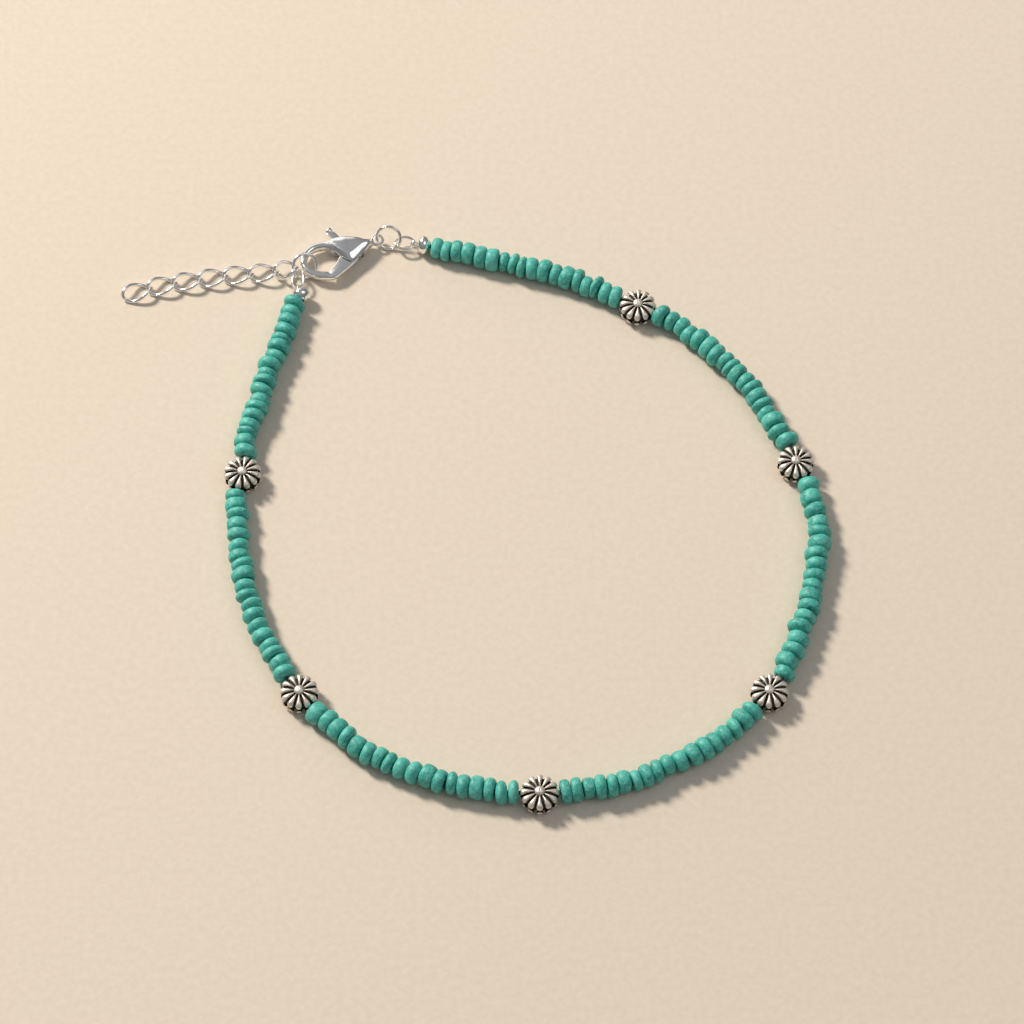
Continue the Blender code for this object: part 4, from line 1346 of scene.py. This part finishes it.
    def build(self, finishes: Finishes) -> None:
        """Build every ring, link and crimp ball and fit it in place of its node."""
        links = [("right_oval", self.right_oval, self.oval_wire, "oval_link_right"),
                 ("left_oval", self.left_oval, self.oval_wire, "oval_link_left")]
        links += [(f"extender_link_{k}", link, self.chain_wire, f"chain_link_{k}")
                  for k, link in enumerate(self.chain, 1)]
        meshes = [
            (self.ring_mesh("clasp_jump_ring", self.clasp_ring, self.clasp_ring_seam),
             "jump_ring_clasp"),
            (self.ring_mesh("hook_jump_ring", self.hook_ring, self.hook_ring_seam),
             "jump_ring_hook"),
            *((self.link_mesh(name, link, wire), node) for name, link, wire, node in links),
            (self.crimp_mesh("right_crimp_ball", self.right_crimp), "crimp_right"),
            (self.crimp_mesh("left_crimp_ball", self.left_crimp), "crimp_left"),
        ]
        for mesh, node in meshes:
            fit(link_piece(mesh.name, mesh, finishes.polished), Part.ANKLET, Slot.POLISHED, node)


# The set


@dataclass(frozen=True)
class Viewpoint:
    """The camera, looking down at the anklet."""

    look: tuple[float, float, float] = (5.9 * MM, -0.85 * MM, 1.5 * MM)
    distance: float = 0.5079
    elevation: float = math.radians(60)
    lens: float = 131.8
    sensor: float = 36.0

    def build(self) -> None:
        """Create the camera and make it the scene's."""
        data = bpy.data.cameras.new("view")
        data.lens, data.sensor_width = self.lens, self.sensor
        data.clip_start, data.clip_end = 0.01, 20.0
        camera = bpy.data.objects.new("view", data)
        back = Vector((0.0, -math.cos(self.elevation), math.sin(self.elevation)))
        camera.location = Vector(self.look) + back * self.distance
        camera.rotation_euler = (QUARTER - self.elevation, 0.0, 0.0)
        bpy.context.scene.collection.objects.link(camera)
        bpy.context.scene.camera = camera


@dataclass(frozen=True)
class Lamp:
    """One soft studio lamp."""

    name: str
    place: tuple[float, float, float]
    size: float
    watts: float
    colour: Colour

    def build(self) -> None:
        """Hang the lamp and point it at the anklet."""
        data = bpy.data.lights.new(self.name, "AREA")
        data.shape, data.size = "DISK", self.size
        data.energy, data.color = self.watts, self.colour
        lamp = bpy.data.objects.new(self.name, data)
        lamp.location = self.place
        lamp.rotation_euler = (-Vector(self.place)).to_track_quat("-Z", "Y").to_euler()
        bpy.context.scene.collection.objects.link(lamp)


@dataclass(frozen=True)
class Studio:
    """A pale floor, a lit room and soft lamps."""

    lamps: tuple[Lamp, ...] = (
        Lamp("key_lamp", (-0.72, 0.62, 0.80), 0.26, 18.0, (1.0, 0.91, 0.80)),
        Lamp("window_lamp", (-0.42, 1.12, 0.48), 0.80, 1.5, (1.0, 0.97, 0.92)),
        Lamp("card_lamp", (0.56, -0.135, 0.98), 0.75, 1.6, (1.0, 0.98, 0.95)),
    )
    room: Colour = (0.93, 0.95, 1.0)
    room_low: float = 0.14
    room_high: float = 0.33
    floor_radius: float = 3.0

    def floor(self) -> None:
        """Lay the plain floor that the anklet lies on."""
        bm = bmesh.new()
        bmesh.ops.create_circle(bm, cap_ends=True, radius=self.floor_radius, segments=64)
        mesh = bpy.data.meshes.new("table_top")
        bm.to_mesh(mesh)
        bm.free()
        link_piece("table_top", mesh, TableFinish().build())

    def light_room(self) -> None:
        """Light the room evenly, brighter towards the ceiling."""
        world = bpy.data.worlds.new("room")
        world.use_nodes = True
        tree = world.node_tree
        sky = tree.nodes["Background"]
        sky.inputs["Color"].default_value = (*self.room, 1.0)
        direction = tree.nodes.new("ShaderNodeTexCoord")
        split = tree.nodes.new("ShaderNodeSeparateXYZ")
        rise = tree.nodes.new("ShaderNodeMapRange")
        rise.inputs["To Min"].default_value = self.room_low
        rise.inputs["To Max"].default_value = self.room_high
        tree.links.new(direction.outputs["Generated"], split.inputs["Vector"])
        tree.links.new(split.outputs["Z"], rise.inputs["Value"])
        tree.links.new(rise.outputs["Result"], sky.inputs["Strength"])
        bpy.context.scene.world = world

    def build(self) -> None:
        """Create the floor, the room's light and the lamps."""
        self.floor()
        bpy.context.scene.view_settings.view_transform = "Standard"
        self.light_room()
        for lamp in self.lamps:
            lamp.build()


# The whole anklet


def run_stops(route: Route, hardware: Hardware, stones: StoneRuns,
              flowers: FlowerBeads) -> list[Pair]:
    """Return where each run of stones starts and ends along the route.

    Args:
        route: the string's route.
        hardware: the hardware, for the crimp balls' length.
        stones: the stones, for their gap.
        flowers: the flower beads, for their size.

    Returns:
        The start and end of each run.
    """
    ends = [hardware.crimp_length / 2 + stones.gap]
    reach = flowers.outer + stones.gap
    for index, stop in enumerate(STRING_ROUTE, 1):
        if stop.turn is not None:
            middle = route.length_at(index)
            ends += [middle - reach, middle + reach]
    ends.append(route.lengths[-1] - hardware.crimp_length / 2 - stones.gap)
    return list(zip(ends[::2], ends[1::2]))


def build_cord(runs: Sequence[Sequence[BeadSpot]], middles: Sequence[Vector],
               hardware: Hardware, finishes: Finishes, radius: float = 0.26 * MM) -> None:
    """Build the stringing cord that runs inside every bead.

    Args:
        runs: the beads of each run.
        middles: the flowers' middles.
        hardware: the hardware, for the crimp balls at its ends.
        finishes: the finishes.
        radius: the cord's radius.
    """
    spots = [hardware.left_crimp.centre]
    for beads, after in zip(runs, [*middles, hardware.right_crimp.centre]):
        spots += [*(bead.centre for bead in beads), after]
    points = [Vector(row) for row in spline([tuple(spot) for spot in spots], 2)]
    bm = bmesh.new()
    sweep(bm, open_frames(points), radius, 8, False)
    cord = link_piece("stringing_cord", as_mesh(bm, "stringing_cord"), finishes.cord)
    fit(cord, Part.ANKLET, None)


def main() -> None:
    """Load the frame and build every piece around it."""
    logging.basicConfig(level=logging.INFO, format="%(name)s %(message)s")
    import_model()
    Viewpoint().build()
    Studio().build()
    finishes = Finishes()
    hardware = Hardware()
    route = Route(hardware.left_crimp.centre, hardware.right_crimp.centre)
    stones, flowers = StoneRuns(), FlowerBeads()
    runs = stones.build(route, run_stops(route, hardware, stones, flowers), finishes)
    middles = flowers.build(route, finishes)
    build_cord(runs, middles, hardware, finishes)
    hardware.build(finishes)
    hardware.clasp.build(finishes)


if __name__ == "__main__":
    main()
